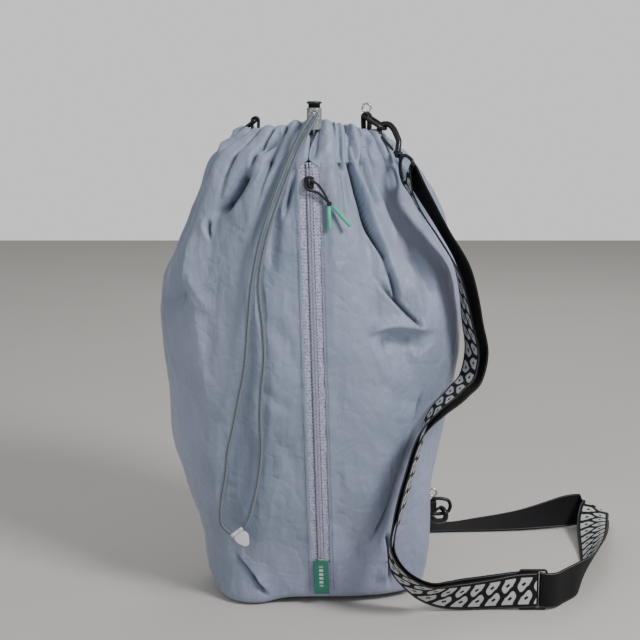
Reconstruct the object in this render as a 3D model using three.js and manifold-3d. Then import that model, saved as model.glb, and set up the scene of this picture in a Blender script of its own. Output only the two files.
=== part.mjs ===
// Tall drawstring shoe bag: soft body with a full-height front zip, a gathered mouth with a
// drawcord and cord lock, webbing tabs with D-rings, and an adjustable webbing shoulder strap.
// Millimetres, +Z up. Origin: bottom centre of the bag. The zip side faces -Y.
import * as THREE from "three";
import { mergeVertices } from "three/addons/utils/BufferGeometryUtils.js";
import Module from "manifold-3d";

const wasm = await Module();
wasm.setup();

// ---------------------------------------------------------------- driving dimensions
const FABRIC = 2.2; // wall of a soft panel
const GAP = 0.4; // clearance between neighbouring pieces
const CHANNEL_BOTTOM = 463; // where the drawcord channel is sewn on
const RIM_TOP = 488.5;
const CHANNEL_WALL = 1.2;
const BASE_THICKNESS = 3;

// Half sizes of the body by height: [z, left, right], and the exponent of its section.
const WIDTH_PROFILE = [
  [0, 98, 117], [12, 104, 122], [36, 111, 126], [64, 116, 127], [99, 126, 127],
  [121, 134, 128], [149, 144, 133], [176, 149, 140], [215, 152, 147], [258, 156, 155],
  [301, 157.5, 157.5], [340, 152, 157], [365, 141, 155], [402, 124, 148], [426, 114, 138],
  [446, 107, 121], [463, 98, 103], [488.5, 67, 76],
];
const SQUARENESS = [[0, 3], [60, 2.6], [120, 2.3], [200, 2.05], [500, 2]];

// The front of the body follows one circular arc, so that the zip is a true arc.
const ARC_RADIUS = 739;
const ARC_MID_Z = 250;
const FRONT_DEPTH = 108;
const BACK_DEPTH = 110.5;
const RIM_DEPTH = 52; // half depth of the mouth at the rim
const ZIP_LEAN = THREE.MathUtils.degToRad(1.7);
const ZIP_MID_X = 4.4;
const ZIP_BOTTOM_Z = 52;
const ZIP_TOP_Z = 461;
const TAPE_HALF = 10.8;
const TAPE_THICK = 0.8;
const CHAIN_GAP = 0.75; // half gap between the two chains, where the slider post runs
const CHAIN_HALF = 2.4;
const SLIDER_Z = 441;

// The hook and strap lie in a hollow of the right shoulder: its middle (degrees from the front,
// height), how far it spreads each way, and the share of the half width it takes at its middle.
const SHOULDER_HOLLOW = { angle: 58, z: 418, angleSpread: 30, zSpread: 48, share: 0.31 };

const CORD_RADIUS = 2.25;
const STRAP_HALF = 19;
const STRAP_THICK = 1.6;
const RING_WIRE = 1.6;
const HOOK_WIRE = 2.3;
const GATE_WIRE = 1.6;
const EYE_WIRE = 1.9;
const EYE_REACH = 52.5; // from the middle of a hook's jaw to the bar of its eye

// ---------------------------------------------------------------- materials
const material = (color, roughness, metalness = 0) =>
  new THREE.MeshStandardMaterial({ color, roughness, metalness });
const nylon = material(0x929bab, 0.75);
const tapeCloth = material(0xa7a9bb, 0.8);
const chainPlastic = material(0xb3b6c6, 0.5);
const cordBraid = material(0x9aa39f, 0.8);
const greenRubber = material(0x57b59c, 0.45);
const greenLabel = material(0x2a7f68, 0.8);
const blackPlastic = material(0x141517, 0.35);
const blackWebbing = material(0x17181a, 0.85);
const smokePlastic = material(0x9fa8a6, 0.3);
const brightSteel = material(0xc9ccd0, 0.25, 1);
const darkSteel = material(0x2b2d31, 0.35, 1);
const silverPlate = material(0xd5d8dc, 0.3, 0.6);

// ---------------------------------------------------------------- geometry helpers
const vec = (x, y, z) => new THREE.Vector3(x, y, z);
const along = (origin, ...steps) =>
  steps.reduce((p, [direction, amount]) => p.addScaledVector(direction, amount), origin.clone());

// Value of a table [[key, value, ...], ...] at a key, in straight stretches.
function tableAt(table, key, column = 1) {
  const last = table.length - 1;
  if (key <= table[0][0]) return table[0][column];
  if (key >= table[last][0]) return table[last][column];
  const i = table.findIndex((row) => row[0] >= key);
  const [a, b] = [table[i - 1], table[i]];
  return THREE.MathUtils.lerp(a[column], b[column], (key - a[0]) / (b[0] - a[0]));
}

function signedVolume(points, triangles) {
  const cross = new THREE.Vector3();
  return triangles.reduce((sum, [a, b, c]) =>
    sum + points[a].dot(cross.crossVectors(points[b], points[c])) / 6, 0);
}

// A closed geometry from shared points; its faces are turned to point outwards.
function solid(points, triangles) {
  const inside = signedVolume(points, triangles) < 0;
  const index = triangles.flatMap(([a, b, c]) => (inside ? [a, c, b] : [a, b, c]));
  const geometry = new THREE.BufferGeometry();
  geometry.setAttribute("position",
    new THREE.Float32BufferAttribute(points.flatMap((p) => [p.x, p.y, p.z]), 3));
  geometry.setIndex(index);
  return geometry;
}

const quad = (a, b, c, d) => [[a, b, c], [a, c, d]];

// Joins rings of points into a closed body, with flat ends or, when closed, end to end.
function loft(rings, closed = false) {
  const n = rings[0].length;
  const triangles = [];
  const spans = closed ? rings.length : rings.length - 1;
  for (let r = 0; r < spans; r++) {
    const [a, b] = [r * n, ((r + 1) % rings.length) * n];
    for (let i = 0; i < n; i++) {
      const j = (i + 1) % n;
      triangles.push(...quad(a + i, a + j, b + j, b + i));
    }
  }
  if (!closed) {
    const end = (rings.length - 1) * n;
    for (let i = 1; i < n - 1; i++) triangles.push([0, i + 1, i], [end, end + i, end + i + 1]);
  }
  return solid(rings.flat(), triangles);
}

// A thin wall between two grids of points, outer[row][column] and inner[row][column].
function wall(outer, inner, wraps = false) {
  const [rows, columns] = [outer.length, outer[0].length];
  const at = (side, r, c) => side * rows * columns + r * columns + (c % columns);
  const triangles = [];
  const lastColumn = wraps ? columns : columns - 1;
  for (let c = 0; c < lastColumn; c++) {
    for (let r = 0; r < rows - 1; r++) {
      triangles.push(...quad(at(0, r, c), at(0, r, c + 1), at(0, r + 1, c + 1), at(0, r + 1, c)));
      triangles.push(...quad(at(1, r, c), at(1, r + 1, c), at(1, r + 1, c + 1), at(1, r, c + 1)));
    }
    const top = rows - 1;
    triangles.push(...quad(at(0, 0, c), at(1, 0, c), at(1, 0, c + 1), at(0, 0, c + 1)));
    triangles.push(...quad(at(0, top, c), at(0, top, c + 1), at(1, top, c + 1), at(1, top, c)));
  }
  if (!wraps) {
    const side = columns - 1;
    for (let r = 0; r < rows - 1; r++) {
      triangles.push(...quad(at(0, r, 0), at(0, r + 1, 0), at(1, r + 1, 0), at(1, r, 0)));
      triangles.push(...quad(at(0, r, side), at(1, r, side), at(1, r + 1, side), at(0, r + 1, side)));
    }
  }
  return solid([...outer.flat(), ...inner.flat()], triangles);
}

const circle = (radius, sides) =>
  new THREE.Shape(Array.from({ length: sides }, (_, i) => {
    const angle = (2 * Math.PI * i) / sides;
    return new THREE.Vector2(radius * Math.cos(angle), radius * Math.sin(angle));
  }));

// A round cord or wire along a smooth curve through the points.
function tube(points, radius, steps, sides = 8) {
  const extrudePath = new THREE.CatmullRomCurve3(points, false, "centripetal");
  return new THREE.ExtrudeGeometry(circle(radius, sides), { steps, extrudePath, bevelEnabled: false });
}

// A round wire bent into a closed flat ring: corners in the plane of axes u and v.
function wireRing(origin, u, v, corners, radius, steps, sides = 8) {
  const points = corners.map(([a, b]) => along(origin, [u, a], [v, b]));
  const curve = new THREE.CatmullRomCurve3(points, true, "centripetal");
  const across = new THREE.Vector3().crossVectors(u, v).normalize();
  const rings = Array.from({ length: steps }, (_, i) => {
    const centre = curve.getPointAt(i / steps);
    const tangent = curve.getTangentAt(i / steps);
    const side = new THREE.Vector3().crossVectors(tangent, across).normalize();
    return Array.from({ length: sides }, (_, k) => {
      const angle = (2 * Math.PI * k) / sides;
      return along(centre, [side, radius * Math.cos(angle)], [across, radius * Math.sin(angle)]);
    });
  });
  return loft(rings, true);
}

function cylinderBetween(a, b, radius, sides = 16) {
  const geometry = new THREE.CylinderGeometry(radius, radius, a.distanceTo(b), sides);
  const axis = new THREE.Vector3().subVectors(b, a).normalize();
  geometry.applyQuaternion(new THREE.Quaternion().setFromUnitVectors(vec(0, 1, 0), axis));
  const middle = along(a, [axis, a.distanceTo(b) / 2]);
  return geometry.translate(middle.x, middle.y, middle.z);
}

// A box given by its size along three axes.
function boxOn(centre, axes, size) {
  const geometry = new THREE.BoxGeometry(...size);
  geometry.applyMatrix4(new THREE.Matrix4().makeBasis(...axes));
  return geometry.translate(centre.x, centre.y, centre.z);
}

function toManifold(geometry) {
  const bare = new THREE.BufferGeometry();
  bare.setAttribute("position", geometry.getAttribute("position").clone());
  if (geometry.index) bare.setIndex(geometry.index.clone());
  const merged = mergeVertices(bare, 1e-4);
  return new wasm.Manifold(new wasm.Mesh({
    numProp: 3,
    vertProperties: merged.attributes.position.array,
    triVerts: new Uint32Array(merged.index.array),
  }));
}

function fromManifold(body) {
  const mesh = body.getMesh();
  const geometry = new THREE.BufferGeometry();
  geometry.setAttribute("position", new THREE.BufferAttribute(mesh.vertProperties, 3));
  geometry.setIndex(new THREE.BufferAttribute(mesh.triVerts, 1));
  return geometry;
}

const join = (...parts) => fromManifold(parts.map(toManifold).reduce((a, b) => a.add(b)));
const cut = (part, ...tools) =>
  fromManifold(tools.map(toManifold).reduce((a, b) => a.subtract(b), toManifold(part)));

// ---------------------------------------------------------------- the assembly
const bag = new THREE.Group();

function add(name, geometry, look) {
  const mesh = new THREE.Mesh(geometry, look);
  mesh.name = name;
  bag.add(mesh);
  return mesh;
}

// ---------------------------------------------------------------- body shape
const arcDrop = (z) => ARC_RADIUS - Math.sqrt(ARC_RADIUS ** 2 - (z - ARC_MID_Z) ** 2);

function halfDepth(z, middle) {
  const drop = middle - arcDrop(Math.min(z, CHANNEL_BOTTOM));
  if (z <= CHANNEL_BOTTOM) return drop;
  return THREE.MathUtils.lerp(drop, RIM_DEPTH, (z - CHANNEL_BOTTOM) / (RIM_TOP - CHANNEL_BOTTOM));
}

function hollow(angle, z) {
  const h = SHOULDER_HOLLOW;
  const away = ((angle - h.angle) / h.angleSpread) ** 2 + ((z - h.z) / h.zSpread) ** 2;
  return 1 - h.share * Math.exp(-away);
}

// A point of the body at an angle (degrees from the front, towards the right) and height.
function bodyPoint(angle, z, inset = 0) {
  const turned = THREE.MathUtils.degToRad(angle);
  const power = tableAt(SQUARENESS, z);
  const width = tableAt(WIDTH_PROFILE, z, angle < 0 ? 1 : 2) - inset;
  const front = Math.abs(angle) < 90;
  const depth = halfDepth(z, front ? FRONT_DEPTH : BACK_DEPTH) - inset;
  const sine = Math.abs(Math.sin(turned));
  const reach = hollow(angle, z);
  const y = depth * Math.max(0, 1 - sine ** power) ** (1 / power);
  return vec(Math.sign(angle) * width * sine * reach, (front ? -y : y) * reach, z);
}

const zipX = (z) => ZIP_MID_X - Math.tan(ZIP_LEAN) * (z - ARC_MID_Z);

// The angle at which the body is at a given x in front.
function frontAngle(x, z) {
  const width = tableAt(WIDTH_PROFILE, z, x < 0 ? 1 : 2);
  return THREE.MathUtils.radToDeg(Math.asin(x / width));
}

const BODY_ROWS = [4, 14, 36, 64, 99, 130, 160, 190, 220, 258, 300, 335, 365, 392, 415, 438, 452, 462.6];

function bodyPanel(columns, angleAt) {
  const grid = (inset) => BODY_ROWS.map((z) =>
    Array.from({ length: columns + 1 }, (_, c) => bodyPoint(angleAt(c / columns, z), z, inset)));
  return wall(grid(0), grid(FABRIC));
}

function addBody() {
  const edge = TAPE_HALF + GAP;
  const seam = 88;
  const slack = 0.35; // degrees between two panels at a side seam
  add("front_panel_left", bodyPanel(8, (s, z) =>
    THREE.MathUtils.lerp(frontAngle(zipX(z) - edge, z), -seam + slack, s)), nylon);
  add("front_panel_right", bodyPanel(8, (s, z) =>
    THREE.MathUtils.lerp(frontAngle(zipX(z) + edge, z), seam - slack, s)), nylon);
  add("back_panel_left", bodyPanel(8, (s) =>
    THREE.MathUtils.lerp(-seam - slack, -180 + slack, s)), nylon);
  add("back_panel_right", bodyPanel(8, (s) =>
    THREE.MathUtils.lerp(seam + slack, 180 - slack, s)), nylon);
  const outline = (z, inset) => Array.from({ length: 36 }, (_, i) =>
    bodyPoint(-175 + 10 * i, z, inset).setZ(z));
  add("base_panel", loft([outline(0, 1.5), outline(BASE_THICKNESS, 0)]), nylon);
}

// The zip ends on this strip of cloth, which closes the front below it.
function addZipFoot() {
  const edge = TAPE_HALF + 0.1;
  const rows = [4, 12, 20, 30, 40, ZIP_BOTTOM_Z - GAP];
  const grid = (inset) => rows.map((z) => [-1, -0.5, 0, 0.5, 1].map((s) =>
    bodyPoint(frontAngle(zipX(z) + s * edge, z), z, inset)));
  add("zip_foot_panel", wall(grid(0), grid(FABRIC)), nylon);
  const labelRows = [15, 25, 35, 45, 55];
  const labelGrid = (inset) => labelRows.map((z) => [-7.6, 0, 7.6].map((dx) =>
    bodyPoint(frontAngle(zipX(z) - 0.4 + dx, z), z, inset)));
  add("woven_label", wall(labelGrid(-3.6), labelGrid(-2.8)), greenLabel);
}

// ---------------------------------------------------------------- zip on its arc
const zipAcross = vec(Math.cos(ZIP_LEAN), 0, Math.sin(ZIP_LEAN));
const zipUp = vec(-Math.sin(ZIP_LEAN), 0, Math.cos(ZIP_LEAN));
const arcCentre = vec(ZIP_MID_X, ARC_RADIUS - FRONT_DEPTH, ARC_MID_Z);
const arcAngle = (z) => Math.asin((z - ARC_MID_Z) / ARC_RADIUS / Math.cos(ZIP_LEAN));

// Position on the zip: arc angle, offset across it, and height above its face.
function zipPoint(angle, across, out) {
  const reach = ARC_RADIUS + out;
  return along(arcCentre, [vec(0, -1, 0), reach * Math.cos(angle)],
    [zipUp, reach * Math.sin(angle)], [zipAcross, across]);
}

const zipOut = (angle) => along(vec(0, -Math.cos(angle), 0), [zipUp, Math.sin(angle)]);
const zipTangent = (angle) => along(vec(0, Math.sin(angle), 0), [zipUp, Math.cos(angle)]);

function zipStrip(zFrom, zTo, steps, [x0, x1], [out0, out1]) {
  const rings = Array.from({ length: steps + 1 }, (_, i) => {
    const angle = THREE.MathUtils.lerp(arcAngle(zFrom), arcAngle(zTo), i / steps);
    return [zipPoint(angle, x0, out0), zipPoint(angle, x1, out0),
      zipPoint(angle, x1, out1), zipPoint(angle, x0, out1)];
  });
  return loft(rings);
}

function addZip() {
  const halfTape = TAPE_THICK / 2;
  for (const [side, sign] of [["left", -1], ["right", 1]]) {
    const tape = [sign * CHAIN_GAP, sign * TAPE_HALF].sort((a, b) => a - b);
    const chain = [sign * CHAIN_GAP, sign * CHAIN_HALF].sort((a, b) => a - b);
    add(`zip_tape_${side}`, zipStrip(ZIP_BOTTOM_Z, ZIP_TOP_Z, 24, tape, [-halfTape, halfTape]),
      tapeCloth);
    add(`zip_chain_${side}`, zipStrip(ZIP_BOTTOM_Z + 6, ZIP_TOP_Z - 6, 24, chain,
      [halfTape + 0.3, halfTape + 1.5]), chainPlastic);
    add(`zip_top_stop_${side}`, zipStrip(ZIP_TOP_Z - 5.4, ZIP_TOP_Z - 1.5, 2, chain,
      [halfTape + 0.3, halfTape + 1.7]), brightSteel);
  }
  add("zip_bottom_stop", zipStrip(ZIP_BOTTOM_Z + 1, ZIP_BOTTOM_Z + 5.4, 2, [-3, 3],
    [halfTape + 0.3, halfTape + 1.7]), brightSteel);
}

// Slider: top plate with side flanges, a post between the chains and a plate behind the tape.
function addSlider() {
  const angle = arcAngle(SLIDER_Z);
  const axes = [zipAcross, zipTangent(angle), zipOut(angle)];
  const block = (x, up, out, size) =>
    boxOn(along(zipPoint(angle, x, out), [axes[1], up]), axes, size);
  add("zip_slider", join(
    block(0, 0, 3.1, [8.6, 12, 1.4]),
    block(-3.8, 0, 1.8, [1, 11, 1.6]),
    block(3.8, 0, 1.8, [1, 11, 1.6]),
    block(0, 2.5, 0.3, [0.8, 3.2, 5.2]),
    block(0, 0, -2.1, [8.2, 11.5, 1.2]),
  ), darkSteel);
  const crownFoot = zipPoint(angle, 0, 4.1);
  const arch = [[-4.6, 0], [-4.6, 2.6], [-2.6, 4.4], [2.6, 4.4], [4.6, 2.6], [4.6, 0]]
    .map(([up, out]) => along(crownFoot, [axes[1], up], [axes[2], out]));
  add("zip_slider_crown", tube(arch, 0.9, 12, 6), brightSteel);
  const pivot = along(crownFoot, [axes[2], 2.2]);
  return { pivot, out: axes[2], down: axes[1].clone().negate(), right: zipAcross };
}

// Cord loop through the crown, ending in a knot with two rubber sleeves.
function addZipPull({ pivot, out, down, right }) {
  const at = (x, drop, lift) => along(pivot, [right, x], [down, drop], [out, lift]);
  const loop = [at(-1.5, -1, -0.2), at(2.5, -1.2, 0.2), at(7.5, 1.5, 0.6), at(11.5, 6.5, 0),
    at(15.5, 13, -1.5), at(18.5, 20, -2.8)];
  const back = [at(-1.5, -1, -0.2), at(-2.6, 3, 0.3), at(-1.2, 7.2, 0.2), at(3, 8.8, 0.2),
    at(8.5, 10.4, -0.2), at(13.5, 15, -1.5), at(18.5, 20, -2.8)];
  const knot = new THREE.SphereGeometry(2.4, 10, 6).translate(...at(19, 21, -2.4).toArray());
  const pullCord = 1;
  add("zip_pull_cord", join(tube(loop, pullCord, 10, 6), tube(back, pullCord, 10, 6), knot),
    blackWebbing);
  const sleeve = (from, to) => cylinderBetween(from, to, 2, 12);
  add("zip_pull_sleeve_left", sleeve(at(18.4, 24.2, -2.6), at(18.9, 46, -3)), greenRubber);
  add("zip_pull_sleeve_right", sleeve(at(22.3, 23.3, -2.4), at(39, 43.5, -3)), greenRubber);
}

// ---------------------------------------------------------------- mouth, drawcord and lock
const CHANNEL_FROM = 9; // degrees left open on each side of the front
const RIM_MIDDLE = 2.6; // depth at which the channel's cloth turns from its outside to its inside
const channelAngle = (s) => THREE.MathUtils.lerp(CHANNEL_FROM, 360 - CHANNEL_FROM, s);
const signedAngle = (angle) => (angle > 180 ? angle - 360 : angle);

function addChannel() {
  const columns = 36;
  // The cloth goes up the outside, over the rim and down the inside.
  const profile = [[0, 0], [0.5, 0], [0.9, 0.2], [1, 2.4], [0.97, 5], [0.6, 9.4], [0.1, 10.6]];
  const grid = (shift) => profile.map(([rise, depth]) =>
    Array.from({ length: columns + 1 }, (_, c) => {
      const angle = signedAngle(channelAngle(c / columns));
      const z = THREE.MathUtils.lerp(CHANNEL_BOTTOM + GAP, RIM_TOP, rise);
      const turnedIn = depth > RIM_MIDDLE;
      const point = bodyPoint(angle, z, turnedIn ? depth - shift : depth + shift);
      return point.setZ(rise > 0.93 ? z - shift : z);
    }));
  add("drawcord_channel", wall(grid(0), grid(CHANNEL_WALL)), nylon);
}

const LOCK = { x: 3.6, y: -57, bottom: 492, top: 513.5, radius: 7.4, bore: 6.2, cordZ: 506.5 };
const LOCK_TRAVEL = 3.4;
const CORD_SIDE = 2.45; // each cord's offset from the middle of the lock
const lockAt = (x, y, z) => vec(LOCK.x + x, LOCK.y + y, z);

// One end of the drawcord behind the lock, on its right (side 1) or left (side -1).
const lockExit = (side) => [[0, 8, 0], [0.1, 10.8, -0.2], [0.5, 13.4, -4], [0.8, 12.6, -12]]
  .map(([x, y, drop]) => lockAt(side * (CORD_SIDE + x), y, LOCK.cordZ + drop));

// The drawcord held by the channel: out of its front opening at both ends, up to the lock.
function addDrawcord() {
  const z = CHANNEL_BOTTOM + 10;
  const around = Array.from({ length: 25 }, (_, i) =>
    bodyPoint(signedAngle(THREE.MathUtils.lerp(14, 346, i / 24)), z, 5.2));
  const path = [
    ...lockExit(1), lockAt(CORD_SIDE + 2.4, 4, z + 9), ...around,
    lockAt(-CORD_SIDE - 2.4, 4, z + 9), ...lockExit(-1).reverse(),
  ];
  add("drawcord", tube(path, CORD_RADIUS, 56, 8), cordBraid);
}

// Cord lock: a barrel with a cross slot, a sprung plunger whose own slot pinches the cords.
function addCordLock() {
  const slot = (low, high, width) => boxOn(lockAt(0, 0, (low + high) / 2),
    [vec(1, 0, 0), vec(0, 1, 0), vec(0, 0, 1)], [width, 20, high - low]);
  const cords = [LOCK.cordZ - CORD_RADIUS - 0.5, LOCK.cordZ + CORD_RADIUS + 0.5];
  add("cord_lock_body", cut(
    cylinderBetween(lockAt(0, 0, LOCK.bottom), lockAt(0, 0, LOCK.top), LOCK.radius, 20),
    cylinderBetween(lockAt(0, 0, LOCK.bottom + 2), lockAt(0, 0, LOCK.top + 1), LOCK.bore, 20),
    slot(...cords, 10.4),
  ), smokePlastic);
  const stemTop = LOCK.top + LOCK_TRAVEL + 0.4;
  const stem = cylinderBetween(lockAt(0, 0, 500), lockAt(0, 0, stemTop + 0.5), LOCK.bore - 0.3, 20);
  const cap = cylinderBetween(lockAt(0, 0, stemTop), lockAt(0, 0, stemTop + 2.6), LOCK.radius, 20);
  const pinchTop = LOCK.cordZ + CORD_RADIUS + LOCK_TRAVEL + 0.4;
  const pinch = slot(LOCK.cordZ - CORD_RADIUS - 0.3, pinchTop, 9.9);
  add("cord_lock_plunger", cut(join(stem, cap), pinch), blackPlastic);
  const [turns, coilRadius, coilBottom, coilHeight] = [3.5, 3.2, 494.8, 4.4];
  const coil = Array.from({ length: 29 }, (_, i) => {
    const angle = (2 * Math.PI * turns * i) / 28;
    return lockAt(coilRadius * Math.cos(angle), coilRadius * Math.sin(angle),
      coilBottom + (coilHeight * i) / 28);
  });
  add("cord_lock_spring", tube(coil, 0.35, 40, 4), brightSteel);
}

// The two free tails of the drawcord: routes chosen by hand from the lock to the cord end.
const LEFT_TAIL = [
  [1.15, -65, 506.5], [1.1, -70.5, 506.3], [-0.9, -76, 503.4], [-8, -79.4, 492.5],
  [-15.4, -81.2, 478],
  [-24, -85.5, 458], [-37, -94.5, 424], [-49, -103, 386], [-57, -107.5, 345], [-61, -109.5, 303],
  [-65, -108.5, 260], [-70.5, -106.5, 233], [-77, -104.5, 200], [-82.3, -102.5, 177],
  [-85, -100, 152], [-89, -97.5, 129], [-91, -96, 110], [-89.6, -95, 97], [-81.4, -93.1, 88.1],
];
const RIGHT_TAIL = [
  [6.05, -65, 506.5], [6, -70.5, 506.3], [4.6, -77, 503], [-2, -81.6, 492], [-10, -83.2, 478],
  [-18.4, -87, 458], [-31.4, -96, 424], [-43.4, -104.6, 386], [-50.2, -108.8, 345],
  [-46.5, -111, 303], [-45.3, -111.5, 273], [-48.4, -109.6, 241], [-49.8, -107.5, 214],
  [-49.4, -104.5, 179], [-52.6, -101, 148], [-58, -98, 122], [-62.6, -96, 105.5],
  [-67.8, -94.1, 94.9],
];

const toPoints = (route) => route.map((p) => vec(...p));

function addTails() {
  add("drawcord_tail_left", tube(toPoints(LEFT_TAIL), CORD_RADIUS, 44, 8), cordBraid);
  add("drawcord_tail_right", tube(toPoints(RIGHT_TAIL), CORD_RADIUS, 44, 8), cordBraid);
  const left = vec(-80.4, -93, 84.9);
  const right = vec(-69, -94, 93.9);
  const axis = new THREE.Vector3().subVectors(right, left).normalize();
  const face = vec(-0.1, -0.99, 0.1).projectOnPlane(axis).normalize();
  const up = new THREE.Vector3().crossVectors(face, axis);
  const middle = left.clone().lerp(right, 0.5);
  add("cord_end_bar", boxOn(middle, [axis, up, face], [14.6, 3.6, 5]), silverPlate);
  const corners = [[-6.8, -2.4], [6.4, -2.4], [8.4, -8.5], [2, -18], [-2.4, -17.2], [-7, -9.6]];
  const plateRing = (depth) => corners.map(([a, b]) =>
    along(middle, [axis, a], [up, b], [face, depth]));
  add("cord_end_plate", loft([plateRing(-1), plateRing(1)]), silverPlate);
}

// ---------------------------------------------------------------- tabs and D-rings
// A folded webbing tab around a D-ring bar. The bar lies along `bar`; the tab goes `down`
// from it, and the ring hangs along `hang`.
function addTabAndRing(prefix, origin, { bar, down, hang }, { tabLength, ringReach }) {
  const across = new THREE.Vector3().crossVectors(bar, down).normalize();
  const bend = RING_WIRE + 0.4;
  const tabWall = 1.2;
  const half = 6.6;
  const turn = Array.from({ length: 7 }, (_, i) => (Math.PI * i) / 6);
  const fold = (reach) => [
    [-reach * 0.62, tabLength], [-reach * 0.85, tabLength * 0.5],
    ...turn.map((angle) => [-reach * Math.cos(angle), -reach * Math.sin(angle)]),
    [reach * 0.85, tabLength * 0.5], [reach * 0.62, tabLength],
  ];
  const grid = (reach) => fold(reach).map(([x, d]) =>
    [-half, half].map((b) => along(origin, [across, x], [down, d], [bar, b])));
  add(`${prefix}_tab`, wall(grid(bend + tabWall), grid(bend)), blackWebbing);
  const ringHalf = 8.8;
  const outline = [[-ringHalf + 1, 0], [0, 0], [ringHalf - 1, 0], [ringHalf, 1.6],
    [ringHalf, ringReach * 0.5], [ringHalf * 0.72, ringReach * 0.88], [0, ringReach],
    [-ringHalf * 0.72, ringReach * 0.88], [-ringHalf, ringReach * 0.5], [-ringHalf, 1.6]];
  add(`${prefix}_d_ring`, wireRing(origin, bar, hang, outline, RING_WIRE, 30, 6), blackPlastic);
}

const unit = (x, y, z) => vec(x, y, z).normalize();

// A small bright ring riveted through the head of a tab.
function addRivetRing(name, centre, axis, side) {
  const up = new THREE.Vector3().crossVectors(axis, side).normalize();
  const radius = 4.3;
  const corners = Array.from({ length: 12 }, (_, i) => {
    const angle = (Math.PI * i) / 6;
    return [radius * Math.cos(angle), radius * Math.sin(angle)];
  });
  add(name, wireRing(centre, side, up, corners, 1, 16, 6), brightSteel);
}

const TOP_LEFT = { origin: vec(-57, -2, 499), bar: unit(0.05, 1, 0), down: vec(0, 0, -1),
  hang: unit(-0.79, 0.04, -0.61) };
const TOP_RIGHT = { origin: vec(56.4, -18.5, 503.5), bar: unit(0.32, 0.95, 0), down: vec(0, 0, -1),
  hang: unit(0.81, -0.27, -0.52) };
const TOP_RIGHT_REACH = 23;
const LOWER_RIGHT = { origin: vec(136, 56, 67), bar: vec(0, 0, 1), down: unit(-0.82, -0.57, 0),
  hang: unit(1, 0.05, 0) };

// ---------------------------------------------------------------- snap hooks
// Hook on a ring wire at `held`; its long axis points to the strap, `side` is the jaw's side.
function addHook(prefix, held, axis, side, eyeBar) {
  const up = axis.clone().negate();
  const jaw = along(held, [axis, 3.4]);
  const at = (a, b) => along(jaw, [side, a], [up, b]);
  const shank = [[0, -27], [2.4, -22], [6, -16], [7.2, -8], [7.3, 0], [5.2, 6], [0, 8.6],
    [-5.2, 6], [-7.2, 0.6]];
  add(`${prefix}_body`, join(
    tube(shank.map(([a, b]) => at(a, b)), HOOK_WIRE, 24, 8),
    cylinderBetween(at(0, -23), at(0, -30), 4.3, 14),
  ), blackPlastic);
  const gate = [at(-7.1, -2.4), at(-5.2, -11), at(-2.9, -20.4)];
  add(`${prefix}_gate`, tube(gate, GATE_WIRE, 6, 8), blackPlastic);
  const halfEye = [[10, -35.8], [18.5, -42], [22.2, -49], [20.6, -EYE_REACH], [10, -EYE_REACH]];
  const mirrored = halfEye.map(([a, b]) => [-a, b]).reverse();
  const corners = [[0, -33.8], ...halfEye, [0, -EYE_REACH], ...mirrored];
  add(`${prefix}_eye`, join(
    wireRing(jaw, eyeBar, up, corners, EYE_WIRE, 40, 6),
    cylinderBetween(at(0, -30.4), at(0, -34), 2.1, 10),
  ), blackPlastic);
  return { bar: at(0, -EYE_REACH), barAxis: eyeBar, outward: axis };
}

// ---------------------------------------------------------------- strap
// Stations of the doubled strap from the upper hook to the tri-glide: middle of the two
// layers, direction of the edge that is nearer the front, and half the distance between layers.
const DOUBLED = [
  [[104, -58, 432], [0.2, -0.93, 0.3], 5.2], [[113.5, -60, 415], [0.25, -0.95, 0.15], 5.6],
  [[130, -62, 389], [0.28, -0.96, 0], 4.2], [[148.5, -60, 358], [0.28, -0.96, 0], 4],
  [[158, -55, 328], [0.28, -0.96, 0], 4.2], [[164, -49, 298], [0.28, -0.96, 0], 4.6],
  [[169.5, -46, 268], [0.27, -0.96, 0], 4.8], [[163, -58, 242], [0.2, -0.97, 0], 4.4],
  [[148, -72, 228], [0.1, -0.98, 0], 4], [[128, -87, 213], [0, -0.99, 0], 3.2],
  [[111, -99, 192], [-0.24, -0.97, 0], 2], [[99, -107, 157], [-0.36, -0.93, 0], 1.5],
  [[87.5, -110, 112], [-0.34, -0.94, 0], 1.4], [[82, -112, 82], [-0.14, -0.97, 0.12], 1.4],
  [[89, -112, 56], [0.3, -0.86, 0.3], 1.6], [[111, -105, 34], [0.25, -0.75, 0.6], 2],
  [[136, -94, 23], [0.02, -0.55, 0.83], 2.6], [[158, -87, 20.4], [0, -0.41, 0.91], 3.4],
  [[188, -82, 20.8], [0, -0.24, 0.97], 3.4], [[210, -80, 21.8], [0, -0.06, 1], 3.2],
];
const GLIDE = { x: 229, y: -80, z: 22.4, slot: 10.5, bar: 4, rim: 2.4, height: 44.2, thick: 2.4 };
const GLIDE_ENTRY = [[221, -80, 22.3], [0, 0, 1], 3.2];

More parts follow.
